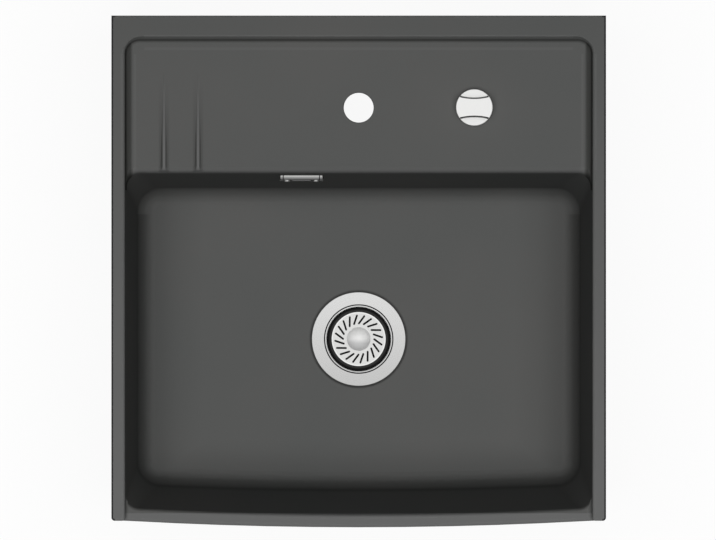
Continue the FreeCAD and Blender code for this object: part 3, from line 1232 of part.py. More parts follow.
def knob_sleeve():
    profile = [(SPINDLE_R + RUNNING_GAP, SLEEVE_END_Z), (SLEEVE_R, SLEEVE_END_Z), (SLEEVE_R, rosette_base()),
               (SLEEVE_HEAD_R, rosette_base()), (SLEEVE_HEAD_R, rosette_base() + SLEEVE_HEAD_T),
               (SPINDLE_R + RUNNING_GAP, rosette_base() + SLEEVE_HEAD_T)]
    return revolved(profile, KNOB_X, HOLES_Y)


def knob_rosette():
    base, top = rosette_base(), rosette_top()
    inside = base + SLEEVE_HEAD_T
    edge = ROSETTE_WALL / 2
    profile = [(SLEEVE_HEAD_R, base), (ROSETTE_R, base), (ROSETTE_R, top - edge), (ROSETTE_R - edge, top),
               (SPINDLE_R + CONTACT_GAP, top), (SPINDLE_R + CONTACT_GAP, inside), (SLEEVE_HEAD_R, inside)]
    return revolved(profile, KNOB_X, HOLES_Y)


def knob_washer():
    return ring(WASHER_R, SLEEVE_R + FIT_GAP, KNOB_X, HOLES_Y, LEDGE_UNDER_Z - WASHER_T, LEDGE_UNDER_Z)


def knob_nut():
    top = LEDGE_UNDER_Z - WASHER_T
    nut = hexagon(NUT_R, KNOB_X, HOLES_Y, top - NUT_T, top)
    return nut.cut(pillar(SLEEVE_R, KNOB_X, HOLES_Y, top - NUT_T - 1.0, top + 1.0))


def knob_spindle():
    top = rosette_top() + CONTACT_GAP + SPINDLE_IN_KNOB
    return pillar(SPINDLE_R, KNOB_X, HOLES_Y, gear_top() - GEAR_T, top)


def knob_cap():
    base = rosette_top() + CONTACT_GAP
    top = base + KNOB_HEIGHT
    shape = pillar(KNOB_R, KNOB_X, HOLES_Y, base, top)
    depth = KNOB_HEIGHT - KNOB_BASE_HEIGHT
    for side in (-1, 1):
        y = HOLES_Y + side * (KNOB_WAIST + KNOB_SCOOP_R)
        scoop = Part.makeCone(KNOB_SCOOP_R - KNOB_SCOOP_DRAFT, KNOB_SCOOP_R, depth,
                              Vector(KNOB_X, y, base + KNOB_BASE_HEIGHT))
        shape = shape.cut(scoop)
    shape = shape.makeFillet(KNOB_EDGE_R, edges_where(
        shape, lambda e: abs(middle(e).z - top) < 0.01
        or (middle(e).z > base + 1.0 and abs(math.hypot(middle(e).x - KNOB_X, middle(e).y - HOLES_Y)
                                             - KNOB_R) < 0.01 and e.BoundBox.ZLength < 1.0)))
    return shape.cut(pillar(SPINDLE_R, KNOB_X, HOLES_Y, base - 1.0, base + SPINDLE_IN_KNOB))


# ---------------------------------------------------------------- overflow
def overflow_trim():
    width, height = TRIM_SIZE
    front, back = -TRIM_PROUD, -TRIM_GASKET_T
    radius = height / 2 - 0.1
    shape = stadium(width, height, front, back, radius)
    face_edges = edges_where(shape, lambda e: abs(middle(e).y - front) < 0.01)
    shape = shape.makeFillet(TRIM_WALL - 0.3, face_edges)
    for side in (-1, 1):
        x = side * TRIM_JOINT_X
        band = box(x - TRIM_JOINT_WIDTH / 2, x + TRIM_JOINT_WIDTH / 2, front - 1.0, back + 1.0,
                   -height, height)
        core = stadium(width - 2 * TRIM_JOINT_DEPTH, height - 2 * TRIM_JOINT_DEPTH,
                       front + TRIM_JOINT_DEPTH, back + 1.0, radius - TRIM_JOINT_DEPTH)
        shape = shape.cut(band.cut(core))
    room = stadium(width - 2 * TRIM_WALL, height - 2 * TRIM_WALL, front + TRIM_WALL, back + 1.0,
                   radius - TRIM_WALL)
    window_w, window_h = TRIM_WINDOW
    window = stadium(window_w, window_h, front - 1.0, back, window_h / 2 - 0.1)
    shape = shape.cut(room).cut(window)
    for side in (-1, 1):
        shape = shape.cut(overflow_bar(TRIM_SCREW_R + FIT_GAP, side, front - 1.0, back))
    return on_back_wall(shape)


def overflow_bar(radius, side, y0, y1):
    """A round bar along the overflow's depth, at one of its two screws."""
    return rod(radius, Vector(side * TRIM_SCREW_X, y0, 0), Vector(side * TRIM_SCREW_X, y1, 0))


def overflow_screws():
    screws = []
    for side in (-1, 1):
        head = overflow_bar(TRIM_SCREW_HEAD_R, side, -TRIM_PROUD - TRIM_SCREW_HEAD_T, -TRIM_PROUD)
        shank = overflow_bar(TRIM_SCREW_R, side, -TRIM_PROUD, TRIM_SCREW_LENGTH - TRIM_PROUD)
        screws.append(on_back_wall(head.fuse(shank)))
    return Part.Compound(screws)


def trim_gasket():
    width, height = TRIM_SIZE
    slot_w, slot_h = OVERFLOW_SLOT
    shape = stadium(width, height, -TRIM_GASKET_T, 0.0, height / 2 - 0.1)
    return on_back_wall(shape.cut(stadium(slot_w, slot_h, -2 * TRIM_GASKET_T, 1.0, slot_h / 2 - 0.1)))


def elbow_gasket():
    width, height = ELBOW_FLANGE
    slot_w, slot_h = OVERFLOW_SLOT
    y0, y1 = BACK_WALL_THICKNESS, BACK_WALL_THICKNESS + ELBOW_GASKET_T
    shape = stadium(width, height, y0, y1, height / 3)
    return on_back_wall(shape.cut(stadium(slot_w, slot_h, y0 - 1.0, y1 + 1.0, slot_h / 2 - 0.1)))


def spigot_y():
    return BACK_WALL_THICKNESS + ELBOW_GASKET_T + ELBOW_DEPTH - ELBOW_WALL - SPIGOT_R


def spigot_end_z():
    return -ELBOW_BODY[1] / 2 - SPIGOT_LENGTH


def overflow_elbow():
    y0 = BACK_WALL_THICKNESS + ELBOW_GASKET_T
    width, height = ELBOW_FLANGE
    shape = stadium(width, height, y0, y0 + ELBOW_FLANGE_T, height / 3)
    width, height = ELBOW_BODY
    shape = shape.fuse(stadium(width, height, y0, y0 + ELBOW_DEPTH, height / 3))
    shape = shape.fuse(rod(SPIGOT_R, Vector(0, spigot_y(), 0), Vector(0, spigot_y(), spigot_end_z())))
    room_w, room_h = ELBOW_ROOM
    shape = shape.cut(stadium(room_w, room_h, y0 - 1.0, y0 + ELBOW_DEPTH - ELBOW_WALL, room_h / 3))
    shape = shape.cut(rod(SPIGOT_BORE_R, Vector(0, spigot_y(), 0), Vector(0, spigot_y(), spigot_end_z() - 1)))
    for side in (-1, 1):
        shape = shape.cut(overflow_bar(TRIM_SCREW_R, side, y0 - 1.0, TRIM_SCREW_LENGTH - TRIM_PROUD))
    return on_back_wall(shape)


def overflow_hose():
    start = on_back_wall_point(0, spigot_y(), spigot_end_z() + HOSE_GRIP)
    below = on_back_wall_point(0, spigot_y(), spigot_end_z())
    down = below.sub(start).normalize()
    turn_back = start.add(Vector(down).multiply((start.z - HOSE_LOW_Z) / -down.z))
    end = Vector(DRAIN_X, DRAIN_Y, INLET_Z).add(Vector(inlet_direction()).multiply(INLET_END - HOSE_GRIP))
    turn_in = end.add(Vector(inlet_direction()).multiply(HOSE_GRIP + HOSE_TURN_ROOM))
    path = rounded_path([start, turn_back, turn_in, end], HOSE_BENDS)
    shape = swept(path, HOSE_R).cut(swept(path, HOSE_BORE_R))
    section = math.pi * (HOSE_R ** 2 - HOSE_BORE_R ** 2)
    print("hose length", round(path.Length, 1), "bends", HOSE_BENDS,
          "volume ratio", round(shape.Volume / (section * path.Length), 4))
    return shape


def hose_nuts():
    """Two clamp nuts, one on each end of the hose."""
    z1 = spigot_end_z() + HOSE_GRIP
    upper = rod(HOSE_NUT_R, Vector(0, spigot_y(), z1 - HOSE_NUT_LENGTH), Vector(0, spigot_y(), z1))
    upper = upper.cut(rod(HOSE_R, Vector(0, spigot_y(), z1 - 2 * HOSE_NUT_LENGTH),
                          Vector(0, spigot_y(), z1 + 1.0)))
    start = INLET_END - HOSE_GRIP
    lower = inlet_rod(HOSE_NUT_R, start, start + HOSE_NUT_LENGTH)
    lower = lower.cut(inlet_rod(HOSE_R, start - 1.0, start + 2 * HOSE_NUT_LENGTH))
    return Part.Compound([on_back_wall(upper), lower])


PIECES = {
    "sink_basin": basin,
    "drain_flange": drain_flange,
    "flange_gasket": flange_gasket,
    "waste_body": waste_body,
    "pin_guide": pin_guide,
    "cable_bracket": cable_bracket,
    "body_gasket": body_gasket,
    "waste_screws": waste_screws,
    "strainer_disc": strainer_disc,
    "strainer_cap": strainer_cap,
    "strainer_guard": strainer_guard,
    "strainer_basket": strainer_basket,
    "strainer_stem": strainer_stem,
    "strainer_plug": strainer_plug,
    "plug_nut": plug_nut,
    "lift_pin": lift_pin,
    "waste_lever": waste_lever,
    "port_seal": port_seal,
    "port_cap": port_cap,
    "cable_end_waste": cable_end_waste,
    "ferrule_waste": ferrule_waste,
    "cable_sheath": cable_sheath,
    "ferrule_drive": ferrule_drive,
    "cable_end_drive": cable_end_drive,
    "drive_rack": drive_rack,
    "drive_pinion": drive_pinion,
    "drive_housing": drive_housing,
    "drive_lid": drive_lid,
    "drive_screws": drive_screws,
    "knob_spindle": knob_spindle,
    "knob_cap": knob_cap,
    "knob_rosette": knob_rosette,
    "knob_sleeve": knob_sleeve,
    "knob_gasket": knob_gasket,
    "knob_washer": knob_washer,
    "knob_nut": knob_nut,
    "overflow_trim": overflow_trim,
    "overflow_screws": overflow_screws,
    "trim_gasket": trim_gasket,
    "overflow_elbow": overflow_elbow,
    "elbow_gasket": elbow_gasket,
    "overflow_hose": overflow_hose,
    "hose_nuts": hose_nuts,
}

os.makedirs("parts", exist_ok=True)
for node, make in PIECES.items():
    save(node, make())
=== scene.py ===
"""Looks of the kitchen sink module: camera, light, materials and the fine pieces.

Everything is in metres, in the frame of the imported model: +X to the right, +Y to the wall, +Z up,
with the origin where the basin's foot rests on the cabinet.
"""
import json
import math

import bmesh
import bpy
from mathutils import Matrix, Vector

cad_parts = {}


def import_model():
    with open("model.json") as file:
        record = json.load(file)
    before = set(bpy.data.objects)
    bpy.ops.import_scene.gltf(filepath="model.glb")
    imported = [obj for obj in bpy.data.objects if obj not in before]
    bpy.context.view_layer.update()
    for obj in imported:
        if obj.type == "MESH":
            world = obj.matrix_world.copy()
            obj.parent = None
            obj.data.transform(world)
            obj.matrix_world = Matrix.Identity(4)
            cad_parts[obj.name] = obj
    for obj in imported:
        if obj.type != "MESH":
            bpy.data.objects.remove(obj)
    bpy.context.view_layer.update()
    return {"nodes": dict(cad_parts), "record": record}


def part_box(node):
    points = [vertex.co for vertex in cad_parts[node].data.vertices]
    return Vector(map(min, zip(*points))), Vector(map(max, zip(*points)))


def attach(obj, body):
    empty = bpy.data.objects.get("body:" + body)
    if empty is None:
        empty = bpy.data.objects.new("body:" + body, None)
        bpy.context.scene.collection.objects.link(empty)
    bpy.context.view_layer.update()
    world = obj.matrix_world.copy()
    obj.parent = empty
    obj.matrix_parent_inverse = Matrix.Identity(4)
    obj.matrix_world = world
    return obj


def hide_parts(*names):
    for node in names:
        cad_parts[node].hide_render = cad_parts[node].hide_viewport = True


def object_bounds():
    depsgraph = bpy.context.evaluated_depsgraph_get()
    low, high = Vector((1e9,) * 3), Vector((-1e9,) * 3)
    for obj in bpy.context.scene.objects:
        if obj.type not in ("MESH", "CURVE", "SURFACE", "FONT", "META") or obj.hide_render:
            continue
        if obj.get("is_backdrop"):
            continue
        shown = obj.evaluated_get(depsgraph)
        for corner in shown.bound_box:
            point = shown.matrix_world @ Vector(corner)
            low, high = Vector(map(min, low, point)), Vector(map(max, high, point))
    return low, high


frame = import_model()
NODES = frame["nodes"]
MM = 0.001

# ---------------------------------------------------------------- camera
IMAGE_WIDTH, IMAGE_HEIGHT = 716, 540    # pixels
SCALE = 1.2027 * MM                     # one pixel at the height of the rims
CENTRE_PX = (358.7, 271.6)              # where the origin's upright line meets the image
CAMERA_DISTANCE = 12.0                  # above the rims; the photograph is nearly orthographic
SENSOR = 36.0                           # its width in millimetres
VIEW_END = 100.0

# ---------------------------------------------------------------- light
FLOOR_REACH = 40.0
FLOOR_BOUNCE = 0.32                     # the floor's grey as the object is lit by it
FLOOR_GREY = 0.90                       # the floor's grey as the camera sees it
FLOOR_SHOWN = 0.92                      # share of the floor's look that is plain white
AMBIENT = 0.04                          # the world's even light
OVERHEAD = 5.6                          # brightness of the large lamp above, where 1 is white
OVERHEAD_SIZE = (2.6, 2.6)
OVERHEAD_PLACE = (0.0, -0.3, 3.5)
OVERHEAD_TARGET = (0.0, 0.0, 0.2)
SIDE_FILL = 9.0                         # brightness of the low strips round the outside
STRIP_SIZE = (2.4, 0.18)
STRIP_REACH, STRIP_HEIGHT = 2.2, 0.10   # a strip's place, out from the middle and above the cabinet


# ---------------------------------------------------------------- node helpers
class Nodes:
    """Short ways to add nodes to a node tree; a value is a plain number or another node's socket."""

    def __init__(self, tree):
        self.tree = tree

    def node(self, kind, **values):
        """Adds a node; values are its properties, or its inputs where the name has a capital."""
        made = self.tree.nodes.new(kind)
        for key, value in values.items():
            if key[0].isupper():
                made.inputs[key.replace("_", " ")].default_value = value
            else:
                setattr(made, key, value)
        return made

    def link(self, source, target):
        self.tree.links.new(source, target)

    def feed(self, inputs, values):
        for socket, value in zip(inputs, values):
            if isinstance(value, bpy.types.NodeSocket):
                self.link(value, socket)
            else:
                socket.default_value = value

    def math(self, operation, *values):
        made = self.node("ShaderNodeMath", operation=operation)
        self.feed(made.inputs, values)
        return made.outputs[0]

    def over(self, value, limit):
        return self.math("GREATER_THAN", value, limit)

    def under(self, value, limit):
        return self.math("LESS_THAN", value, limit)

    def both(self, *masks):
        made = masks[0]
        for mask in masks[1:]:
            made = self.math("MULTIPLY", made, mask)
        return made

    def either(self, *masks):
        made = masks[0]
        for mask in masks[1:]:
            made = self.math("MAXIMUM", made, mask)
        return made

    def ramp(self, value, low, high, out_low=0.0, out_high=1.0):
        """Maps low..high to out_low..out_high, clamped."""
        made = self.node("ShaderNodeMapRange", From_Min=low, From_Max=high, To_Min=out_low, To_Max=out_high)
        self.link(value, made.inputs["Value"])
        return made.outputs["Result"]

    def band(self, value, start, full, fade, end):
        """Rises from 0 at start to 1 at full, and falls from 1 at fade to 0 at end."""
        return self.both(self.ramp(value, start, full), self.ramp(value, fade, end, 1.0, 0.0))

    def mix_shaders(self, share, a, b):
        made = self.node("ShaderNodeMixShader")
        self.feed(made.inputs, (share, a, b))
        return made.outputs[0]

    def seen_directly(self):
        """1 for what the camera sees itself, in a reflection or through glass, else 0."""
        path = self.node("ShaderNodeLightPath")
        return self.either(*[path.outputs[f"Is {kind} Ray"] for kind in ("Camera", "Glossy", "Transmission")])


class Shader(Nodes):
    """A material with one Principled shader, built up in layers."""

    def __init__(self, name, color, roughness, metallic=0.0, **sockets):
        self.material = bpy.data.materials.new(name)
        self.material.use_nodes = True
        super().__init__(self.material.node_tree)
        self.principled = self.tree.nodes["Principled BSDF"]
        self.principled.inputs["Base Color"].default_value = (*color, 1.0)
        self.principled.inputs["Roughness"].default_value = roughness
        self.principled.inputs["Metallic"].default_value = metallic
        for socket, value in sockets.items():
            self.principled.inputs[socket.replace("_", " ")].default_value = value
        coordinates = self.node("ShaderNodeTexCoord")
        self.place = coordinates.outputs["Object"]
        self.x, self.y, self.z = self.split(self.place)
        self.normal = self.split(coordinates.outputs["Normal"])
        self.up = self.normal[2]

    def split(self, vector):
        made = self.node("ShaderNodeSeparateXYZ")
        self.link(vector, made.inputs[0])
        return made.outputs[:]

    def combine(self, *values):
        made = self.node("ShaderNodeCombineXYZ")
        self.feed(made.inputs, values)
        return made.outputs[0]

    def noise(self, scale, detail=3.0, roughness=0.55, vector=None):
        made = self.node("ShaderNodeTexNoise", Scale=scale, Detail=detail, Roughness=roughness)
        self.link(vector or self.place, made.inputs["Vector"])
        return made.outputs["Fac"]

    def spread(self, noise, low, high):
        """Stretches what most of a noise spans, 0.3 to 0.7, to low..high."""
        return self.ramp(noise, 0.3, 0.7, low, high)

    def offset(self, centre):
        """(x, y) from an upright line, as two sockets."""
        return self.math("SUBTRACT", self.x, centre[0]), self.math("SUBTRACT", self.y, centre[1])

    def distance(self, centre):
        """The distance from an upright line."""
        x, y = self.offset(centre)
        return self.math("SQRT", self.math("ADD", self.math("MULTIPLY", x, x), self.math("MULTIPLY", y, y)))

    def turn(self, centre):
        """The angle about an upright line, in whole turns."""
        x, y = self.offset(centre)
        return self.math("DIVIDE", self.math("ARCTAN2", y, x), 2 * math.pi)

    def mix(self, factor, a, b):
        """Mixes two colours, each a tuple or a socket."""
        made = self.node("ShaderNodeMix", data_type="RGBA")
        self.link(factor, made.inputs["Factor"])
        colors = [value if isinstance(value, bpy.types.NodeSocket) else (*value, 1.0) for value in (a, b)]
        self.feed(made.inputs[6:8], colors)
        return made.outputs[2]

    def bump(self, height, distance):
        """Adds a bump on top of those that are there already."""
        made = self.node("ShaderNodeBump", Strength=1.0, Distance=distance)
        self.link(height, made.inputs["Height"])
        normal = self.principled.inputs["Normal"]
        if normal.is_linked:
            self.link(normal.links[0].from_socket, made.inputs["Normal"])
        self.link(made.outputs["Normal"], normal)

    def color(self, socket):
        self.link(socket, self.principled.inputs["Base Color"])

    def rough(self, socket):
        self.link(socket, self.principled.inputs["Roughness"])

    def shade(self, mask, color, share=1.0):
        """Lays a share of a colour over the one that is there, where the mask is 1."""
        below = self.principled.inputs["Base Color"].links[0].from_socket
        self.color(self.mix(self.math("MULTIPLY", mask, share), below, color))

    def gloss(self, share, roughness):
        """Mixes in a gloss that is the same at every angle."""
        shiny = self.node("ShaderNodeBsdfAnisotropic", Roughness=roughness)
        self.link(self.principled.inputs["Normal"].links[0].from_socket, shiny.inputs["Normal"])
        mixed = self.mix_shaders(share, self.principled.outputs[0], shiny.outputs[0])
        self.link(mixed, self.tree.nodes["Material Output"].inputs["Surface"])


def scaled(color, share):
    return [min(1.0, part * share) for part in color]


def centre_of(node):
    low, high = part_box(node)
    return (low + high) / 2


# ---------------------------------------------------------------- colours of the glaze and the clay
GLAZE = (0.0752, 0.0776, 0.0758)
GLAZE_LIGHT = (0.0820, 0.0822, 0.0798)
GLAZE_SPECK = (0.110, 0.111, 0.110)
GLAZE_HIGHLIGHT = (0.118, 0.119, 0.118)      # painted highlight: the rims' tops to the front, pale lines by the recess, the lip and the ribs' crests
GLAZE_SHADE = (0.022, 0.0225, 0.021)     # painted shade: the recess's walls, the bowl's foot, the floor by its walls, the ledge, the ribs' flanks and the ring round the flange
CLAY = (0.56, 0.52, 0.45)
CLAY_PALE = (0.64, 0.60, 0.53)
DARK = (0.012, 0.012, 0.013)            # painted shade in grooves, gaps, slots, the basket and on outer edges, and the trim's dark joints, in any material
GLOSS_SHARE, GLOSS_ROUGHNESS = 0.018, 0.35
SATIN = (0.46, 0.54)                    # the glaze's roughness varies between these
SPECKS = (0.62, 0.72)                   # where a fine noise passes these, specks show
SPECK_SHARE = 0.35

# ---------------------------------------------------------------- zones of the basin
# These are distances in from a side, the back, the front or the top of the basin's box, heights
# above its foot, or slopes, where 1 is level and 0 upright. Two in a row say where a tone starts and
# where it is full; four say where it starts, is full, begins to fade and ends.
INSIDE_SIDE, INSIDE_FRONT = 14.0 * MM, 15.5 * MM    # to what lies within the rims
RIM_TOP = 5.5 * MM                      # a rim's top lies less than this below the highest point
RIM_FADE = (8.0 * MM, 568.0 * MM)       # from the back: the painted highlight on the rims' tops grows to the front
FRONT_RIM = 17.0 * MM                   # how wide the front rim's top is
OUTER_EDGE = 4.5 * MM                   # how wide the painted shade on the rounding of the outer sides is
OUTER_EDGE_SLOPE = (0.02, 0.30, 0.96, 0.9995)
LEDGE_DEPTH = 30.0 * MM                 # the ledge and the front rim lie less than this below the top
LEDGE_LENGTH = 186.0 * MM               # from the back to the ledge's lip
LEDGE_SLOPE = 0.98
LEDGE_SHARE = 0.11                      # how much painted shade darkens the ledge's flat
RECESS_LENGTH = 210.0 * MM              # from the back: the painted shade on the sides runs on into the bowl's corners
RECESS_SIDE = (25.7 * MM, 22.7 * MM)
RECESS_SIDE_SHARE = 0.92
RECESS_BACK = 48.0 * MM
RECESS_BACK_SLOPE = (0.93, 0.60)
RECESS_BACK_SHARE = 0.55
PALE_LINE_SHARE = 0.30                  # painted highlight lines run beside the recess's walls, above and below them
PALE_LINE_CORNER = (39.5 * MM, 46.0 * MM)           # the lines stop this far from the side and the back
RIM_LINE_SIDE = (10.7 * MM, 11.7 * MM, 13.3 * MM, 14.3 * MM)
RIM_LINE_BACK = (23.0 * MM, 24.0 * MM, 26.5 * MM, 27.5 * MM)
FOOT_LINE_SIDE = (26.5 * MM, 27.5 * MM, 29.0 * MM, 30.0 * MM)
FOOT_LINE_BACK = (37.5 * MM, 38.5 * MM, 40.8 * MM, 41.8 * MM)
LIP = (181.5 * MM, 186.0 * MM, 189.0 * MM, 191.5 * MM)   # from the back: the painted highlight line at the ledge's end
LIP_DEPTH = 35.0 * MM
LIP_SHARE = 0.60
BOWL_FOOT_START = 238.0 * MM            # from the back: painted shade darkens the bowl's foot before this
BOWL_FOOT_HEIGHT = (60.0 * MM, 35.0 * MM)
BOWL_FOOT_SLOPE = (0.99, 0.85)
BOWL_FOOT_SHARE = 0.36
FLOOR_SIDE = (107.5 * MM, 57.5 * MM)    # painted shade darkens the floor towards the sides
FLOOR_FRONT = (103.0 * MM, 63.0 * MM)   # and towards the front
FLOOR_HEIGHT = (60.0 * MM, 26.0 * MM)
FLOOR_SHARE = 0.24
RIBS = (-234.5 * MM, -193.5 * MM)       # x of the two ribs on the ledge
RIB_FADE = (73.0 * MM, 158.0 * MM)      # from the back: a rib's painted lines come in slowly
RIB_CREST = (0.8 * MM, 2.2 * MM)        # off a rib's middle: its painted highlight is full, and ends
RIB_FLANK = (1.5 * MM, 3.0 * MM, 4.8 * MM, 7.0 * MM)     # off a rib's middle
RIB_FLANK_SHARE = 0.38
SEAT_RING = (57.0 * MM, 57.8 * MM, 58.4 * MM, 61.0 * MM)  # radii of the painted shade ring round the flange
SEAT_HEIGHT = 24.0 * MM
SEAT_SHARE = 0.80
HOLLOW_SIDE, HOLLOW_BACK = 13.5 * MM, 7.0 * MM      # the unglazed hollow under the ledge
HOLLOW_FRONT = 182.4 * MM               # from the back, at the top; its front leans as the bowl does
HOLLOW_DEPTH = 28.0 * MM
BACK_DRAFT = math.tan(math.radians(6.1))            # lean of the bowl's back wall
UNDERSIDE_SLOPE = -0.5


class Basin:
    """Sockets that say how far in from the basin's box a point lies, and masks of its main zones."""

    def __init__(self, s):
        low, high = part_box("sink_basin")
        self.side = s.math("SUBTRACT", high.x, s.math("ABSOLUTE", s.x))
        self.back = s.math("SUBTRACT", high.y, s.y)
        self.front = s.math("SUBTRACT", s.y, low.y)
        self.depth = s.math("SUBTRACT", high.z, s.z)
        self.inside = s.both(s.over(self.side, INSIDE_SIDE), s.over(self.front, INSIDE_FRONT))
        self.rim_tops = s.under(self.depth, RIM_TOP)
        self.recess = s.both(self.inside, s.under(self.depth, LEDGE_DEPTH), s.over(self.depth, RIM_TOP))
        self.ledge = s.both(self.recess, s.under(self.back, LEDGE_LENGTH))


def shade_rims(s, basin):
    """Painted highlight on the rims' tops, paler to the front, and painted shade on their outer edges."""
    front_rim = s.both(s.under(basin.front, FRONT_RIM), s.under(basin.depth, LEDGE_DEPTH))
    forward = s.ramp(basin.back, *RIM_FADE)
    s.shade(s.both(s.either(basin.rim_tops, front_rim), forward), GLAZE_HIGHLIGHT)
    s.shade(s.both(s.under(basin.side, OUTER_EDGE), s.band(s.up, *OUTER_EDGE_SLOPE)), DARK)


def shade_recess(s, basin):
    """Painted shade on the walls round the ledge, with a painted highlight line above and below them."""
    dark_side = s.both(basin.recess, s.under(basin.back, RECESS_LENGTH),
                       s.ramp(basin.side, *RECESS_SIDE, 0.0, RECESS_SIDE_SHARE))
    dark_back = s.both(basin.recess, s.under(basin.back, RECESS_BACK),
                       s.ramp(s.up, *RECESS_BACK_SLOPE, 0.0, RECESS_BACK_SHARE))
    s.shade(s.either(dark_side, dark_back), GLAZE_SHADE)
    beside_ledge = s.both(s.over(basin.back, PALE_LINE_CORNER[1]), s.under(basin.back, LEDGE_LENGTH))
    behind_ledge = s.over(basin.side, PALE_LINE_CORNER[0])
    for zone, side_line, back_line in ((basin.rim_tops, RIM_LINE_SIDE, RIM_LINE_BACK),
                                       (basin.recess, FOOT_LINE_SIDE, FOOT_LINE_BACK)):
        lines = s.either(s.both(beside_ledge, s.band(basin.side, *side_line)),
                         s.both(behind_ledge, s.band(basin.back, *back_line)))
        s.shade(s.both(zone, lines), GLAZE_HIGHLIGHT, PALE_LINE_SHARE)


def shade_lip(s, basin):
    """A painted highlight runs along the lip between the ledge and the bowl."""
    between_walls = s.over(basin.side, RECESS_SIDE[0])
    lip = s.both(s.band(basin.back, *LIP), s.under(basin.depth, LIP_DEPTH), between_walls)
    s.shade(lip, GLAZE_HIGHLIGHT, LIP_SHARE)


def shade_bowl(s, basin):
    """Painted shade on the bowl's foot, and on its floor towards the side and front walls."""
    foot = s.both(basin.inside, s.over(basin.back, BOWL_FOOT_START), s.ramp(s.z, *BOWL_FOOT_HEIGHT),
                  s.ramp(s.up, *BOWL_FOOT_SLOPE))
    s.shade(foot, GLAZE_SHADE, BOWL_FOOT_SHARE)
    near_walls = s.either(s.ramp(basin.side, *FLOOR_SIDE), s.ramp(basin.front, *FLOOR_FRONT))
    s.shade(s.both(basin.inside, near_walls, s.ramp(s.z, *FLOOR_HEIGHT)), GLAZE_SHADE, FLOOR_SHARE)


def shade_ledge(s, basin):
    """Painted shade darkens the ledge's flat a little; its ribs get painted shade on their flanks and painted
    highlights on their crests.
    """
    s.shade(s.both(basin.ledge, s.over(s.up, LEDGE_SLOPE)), GLAZE_SHADE, LEDGE_SHARE)
    for rib in RIBS:
        off = s.math("ABSOLUTE", s.math("SUBTRACT", s.x, rib))
        along = s.both(basin.ledge, s.ramp(basin.back, *RIB_FADE))
        s.shade(s.both(along, s.band(off, *RIB_FLANK)), GLAZE_SHADE, RIB_FLANK_SHARE)
        s.shade(s.both(along, s.ramp(off, *RIB_CREST, 1.0, 0.0)), GLAZE_HIGHLIGHT)


def shade_seat(s):
    """A ring of painted shade lies round the waste's flange, in the joint where it sits in the floor."""
    radius = s.distance(centre_of("drain_flange"))
    s.shade(s.both(s.band(radius, *SEAT_RING), s.under(s.z, SEAT_HEIGHT)), GLAZE_SHADE, SEAT_SHARE)


def bare_clay(s, basin):
    """The hollow under the ledge and the underside aren't glazed."""
    from_back = s.math("SUBTRACT", basin.back, s.math("MULTIPLY", basin.depth, BACK_DRAFT))
    hollow = s.both(s.over(basin.side, HOLLOW_SIDE), s.over(basin.back, HOLLOW_BACK),
                    s.under(from_back, HOLLOW_FRONT), s.over(basin.depth, HOLLOW_DEPTH))
    clay = s.mix(s.noise(scale=30.0, detail=4.0), CLAY, CLAY_PALE)
    s.shade(s.either(hollow, s.under(s.up, UNDERSIDE_SLOPE)), clay)


def glaze():
    """Graphite satin glaze over fireclay."""
    s = Shader("graphite_glaze", GLAZE, 0.5, Specular_IOR_Level=0.0)
    clouds = s.spread(s.noise(scale=6.0, detail=2.0), 0.0, 1.0)
    specks = s.ramp(s.noise(scale=900.0, detail=2.0, roughness=0.6), *SPECKS, 0.0, SPECK_SHARE)
    s.color(s.mix(specks, s.mix(clouds, GLAZE, GLAZE_LIGHT), GLAZE_SPECK))
    basin = Basin(s)
    # these layers paint highlights and shade into the glaze's colour
    for layer in (shade_rims, shade_recess, shade_lip, shade_bowl, shade_ledge):
        layer(s, basin)
    shade_seat(s)
    bare_clay(s, basin)
    s.rough(s.spread(s.noise(scale=14.0), *SATIN))
    s.bump(s.noise(scale=420.0, detail=2.0), 0.02 * MM)
    s.bump(s.noise(scale=22.0, detail=2.0), 0.08 * MM)
    s.gloss(GLOSS_SHARE, GLOSS_ROUGHNESS)
    return s.material


# ---------------------------------------------------------------- metals
BRUSH_ACROSS, BRUSH_ROUND, BRUSH_UP = 4200.0, 14.0, 900.0   # how fine the brushing is, in three ways
FLANGE_REACH = 55.0 * MM                # the painted reflection changes this far before and behind its centre
FLANGE_GROOVE = (41.0 * MM, 42.5 * MM)  # radii of the painted shade in the groove
FLANGE_DISH_R = 39.6 * MM
FLANGE_DISH_SLOPE = 0.6
LEVEL_SLOPE = 0.5                       # over this a face of the strainer counts as facing up
STRAINER_RIM_R = 31.6 * MM              # the bright rim outside the slots
STRAINER_SLOTS_R = 33.0 * MM
CAP_TONE = (0.5 * MM, -5.0 * MM)        # the cap's painted reflection changes between these, from its centre
CAP_METAL = 0.35                        # how metallic the satin cap looks; 1 is bare metal
KNOB_WAIST = 11.1 * MM                  # half the grip bar's width at its waist
KNOB_SCOOP_R = 71.5 * MM
KNOB_SCOOP_LINE = (-0.9 * MM, 1.1 * MM)  # of the painted shadow line, from the scoop's circle
KNOB_TOP_R = 21.3 * MM
KNOB_TOP_SLOPE = 0.12
KNOB_BACK_TONE, KNOB_FRONT_TONE = 0.050, 0.012      # greys of the painted shadow lines behind and before the grip bar


def brushed_steel(name, centre, color, roughness=0.26):
    """Stainless steel brushed in circles about an upright line."""
    s = Shader(name, color, roughness, 1.0)
    brush = s.combine(s.math("MULTIPLY", s.distance(centre), BRUSH_ACROSS),
                      s.math("MULTIPLY", s.turn(centre), BRUSH_ROUND), s.math("MULTIPLY", s.z, BRUSH_UP))
    streaks = s.noise(scale=1.0, roughness=0.6, vector=brush)
    s.rough(s.spread(streaks, roughness - 0.05, roughness + 0.07))
    s.color(s.mix(streaks, scaled(color, 0.92), scaled(color, 1.05)))
    s.bump(streaks, 0.012 * MM)
    return s


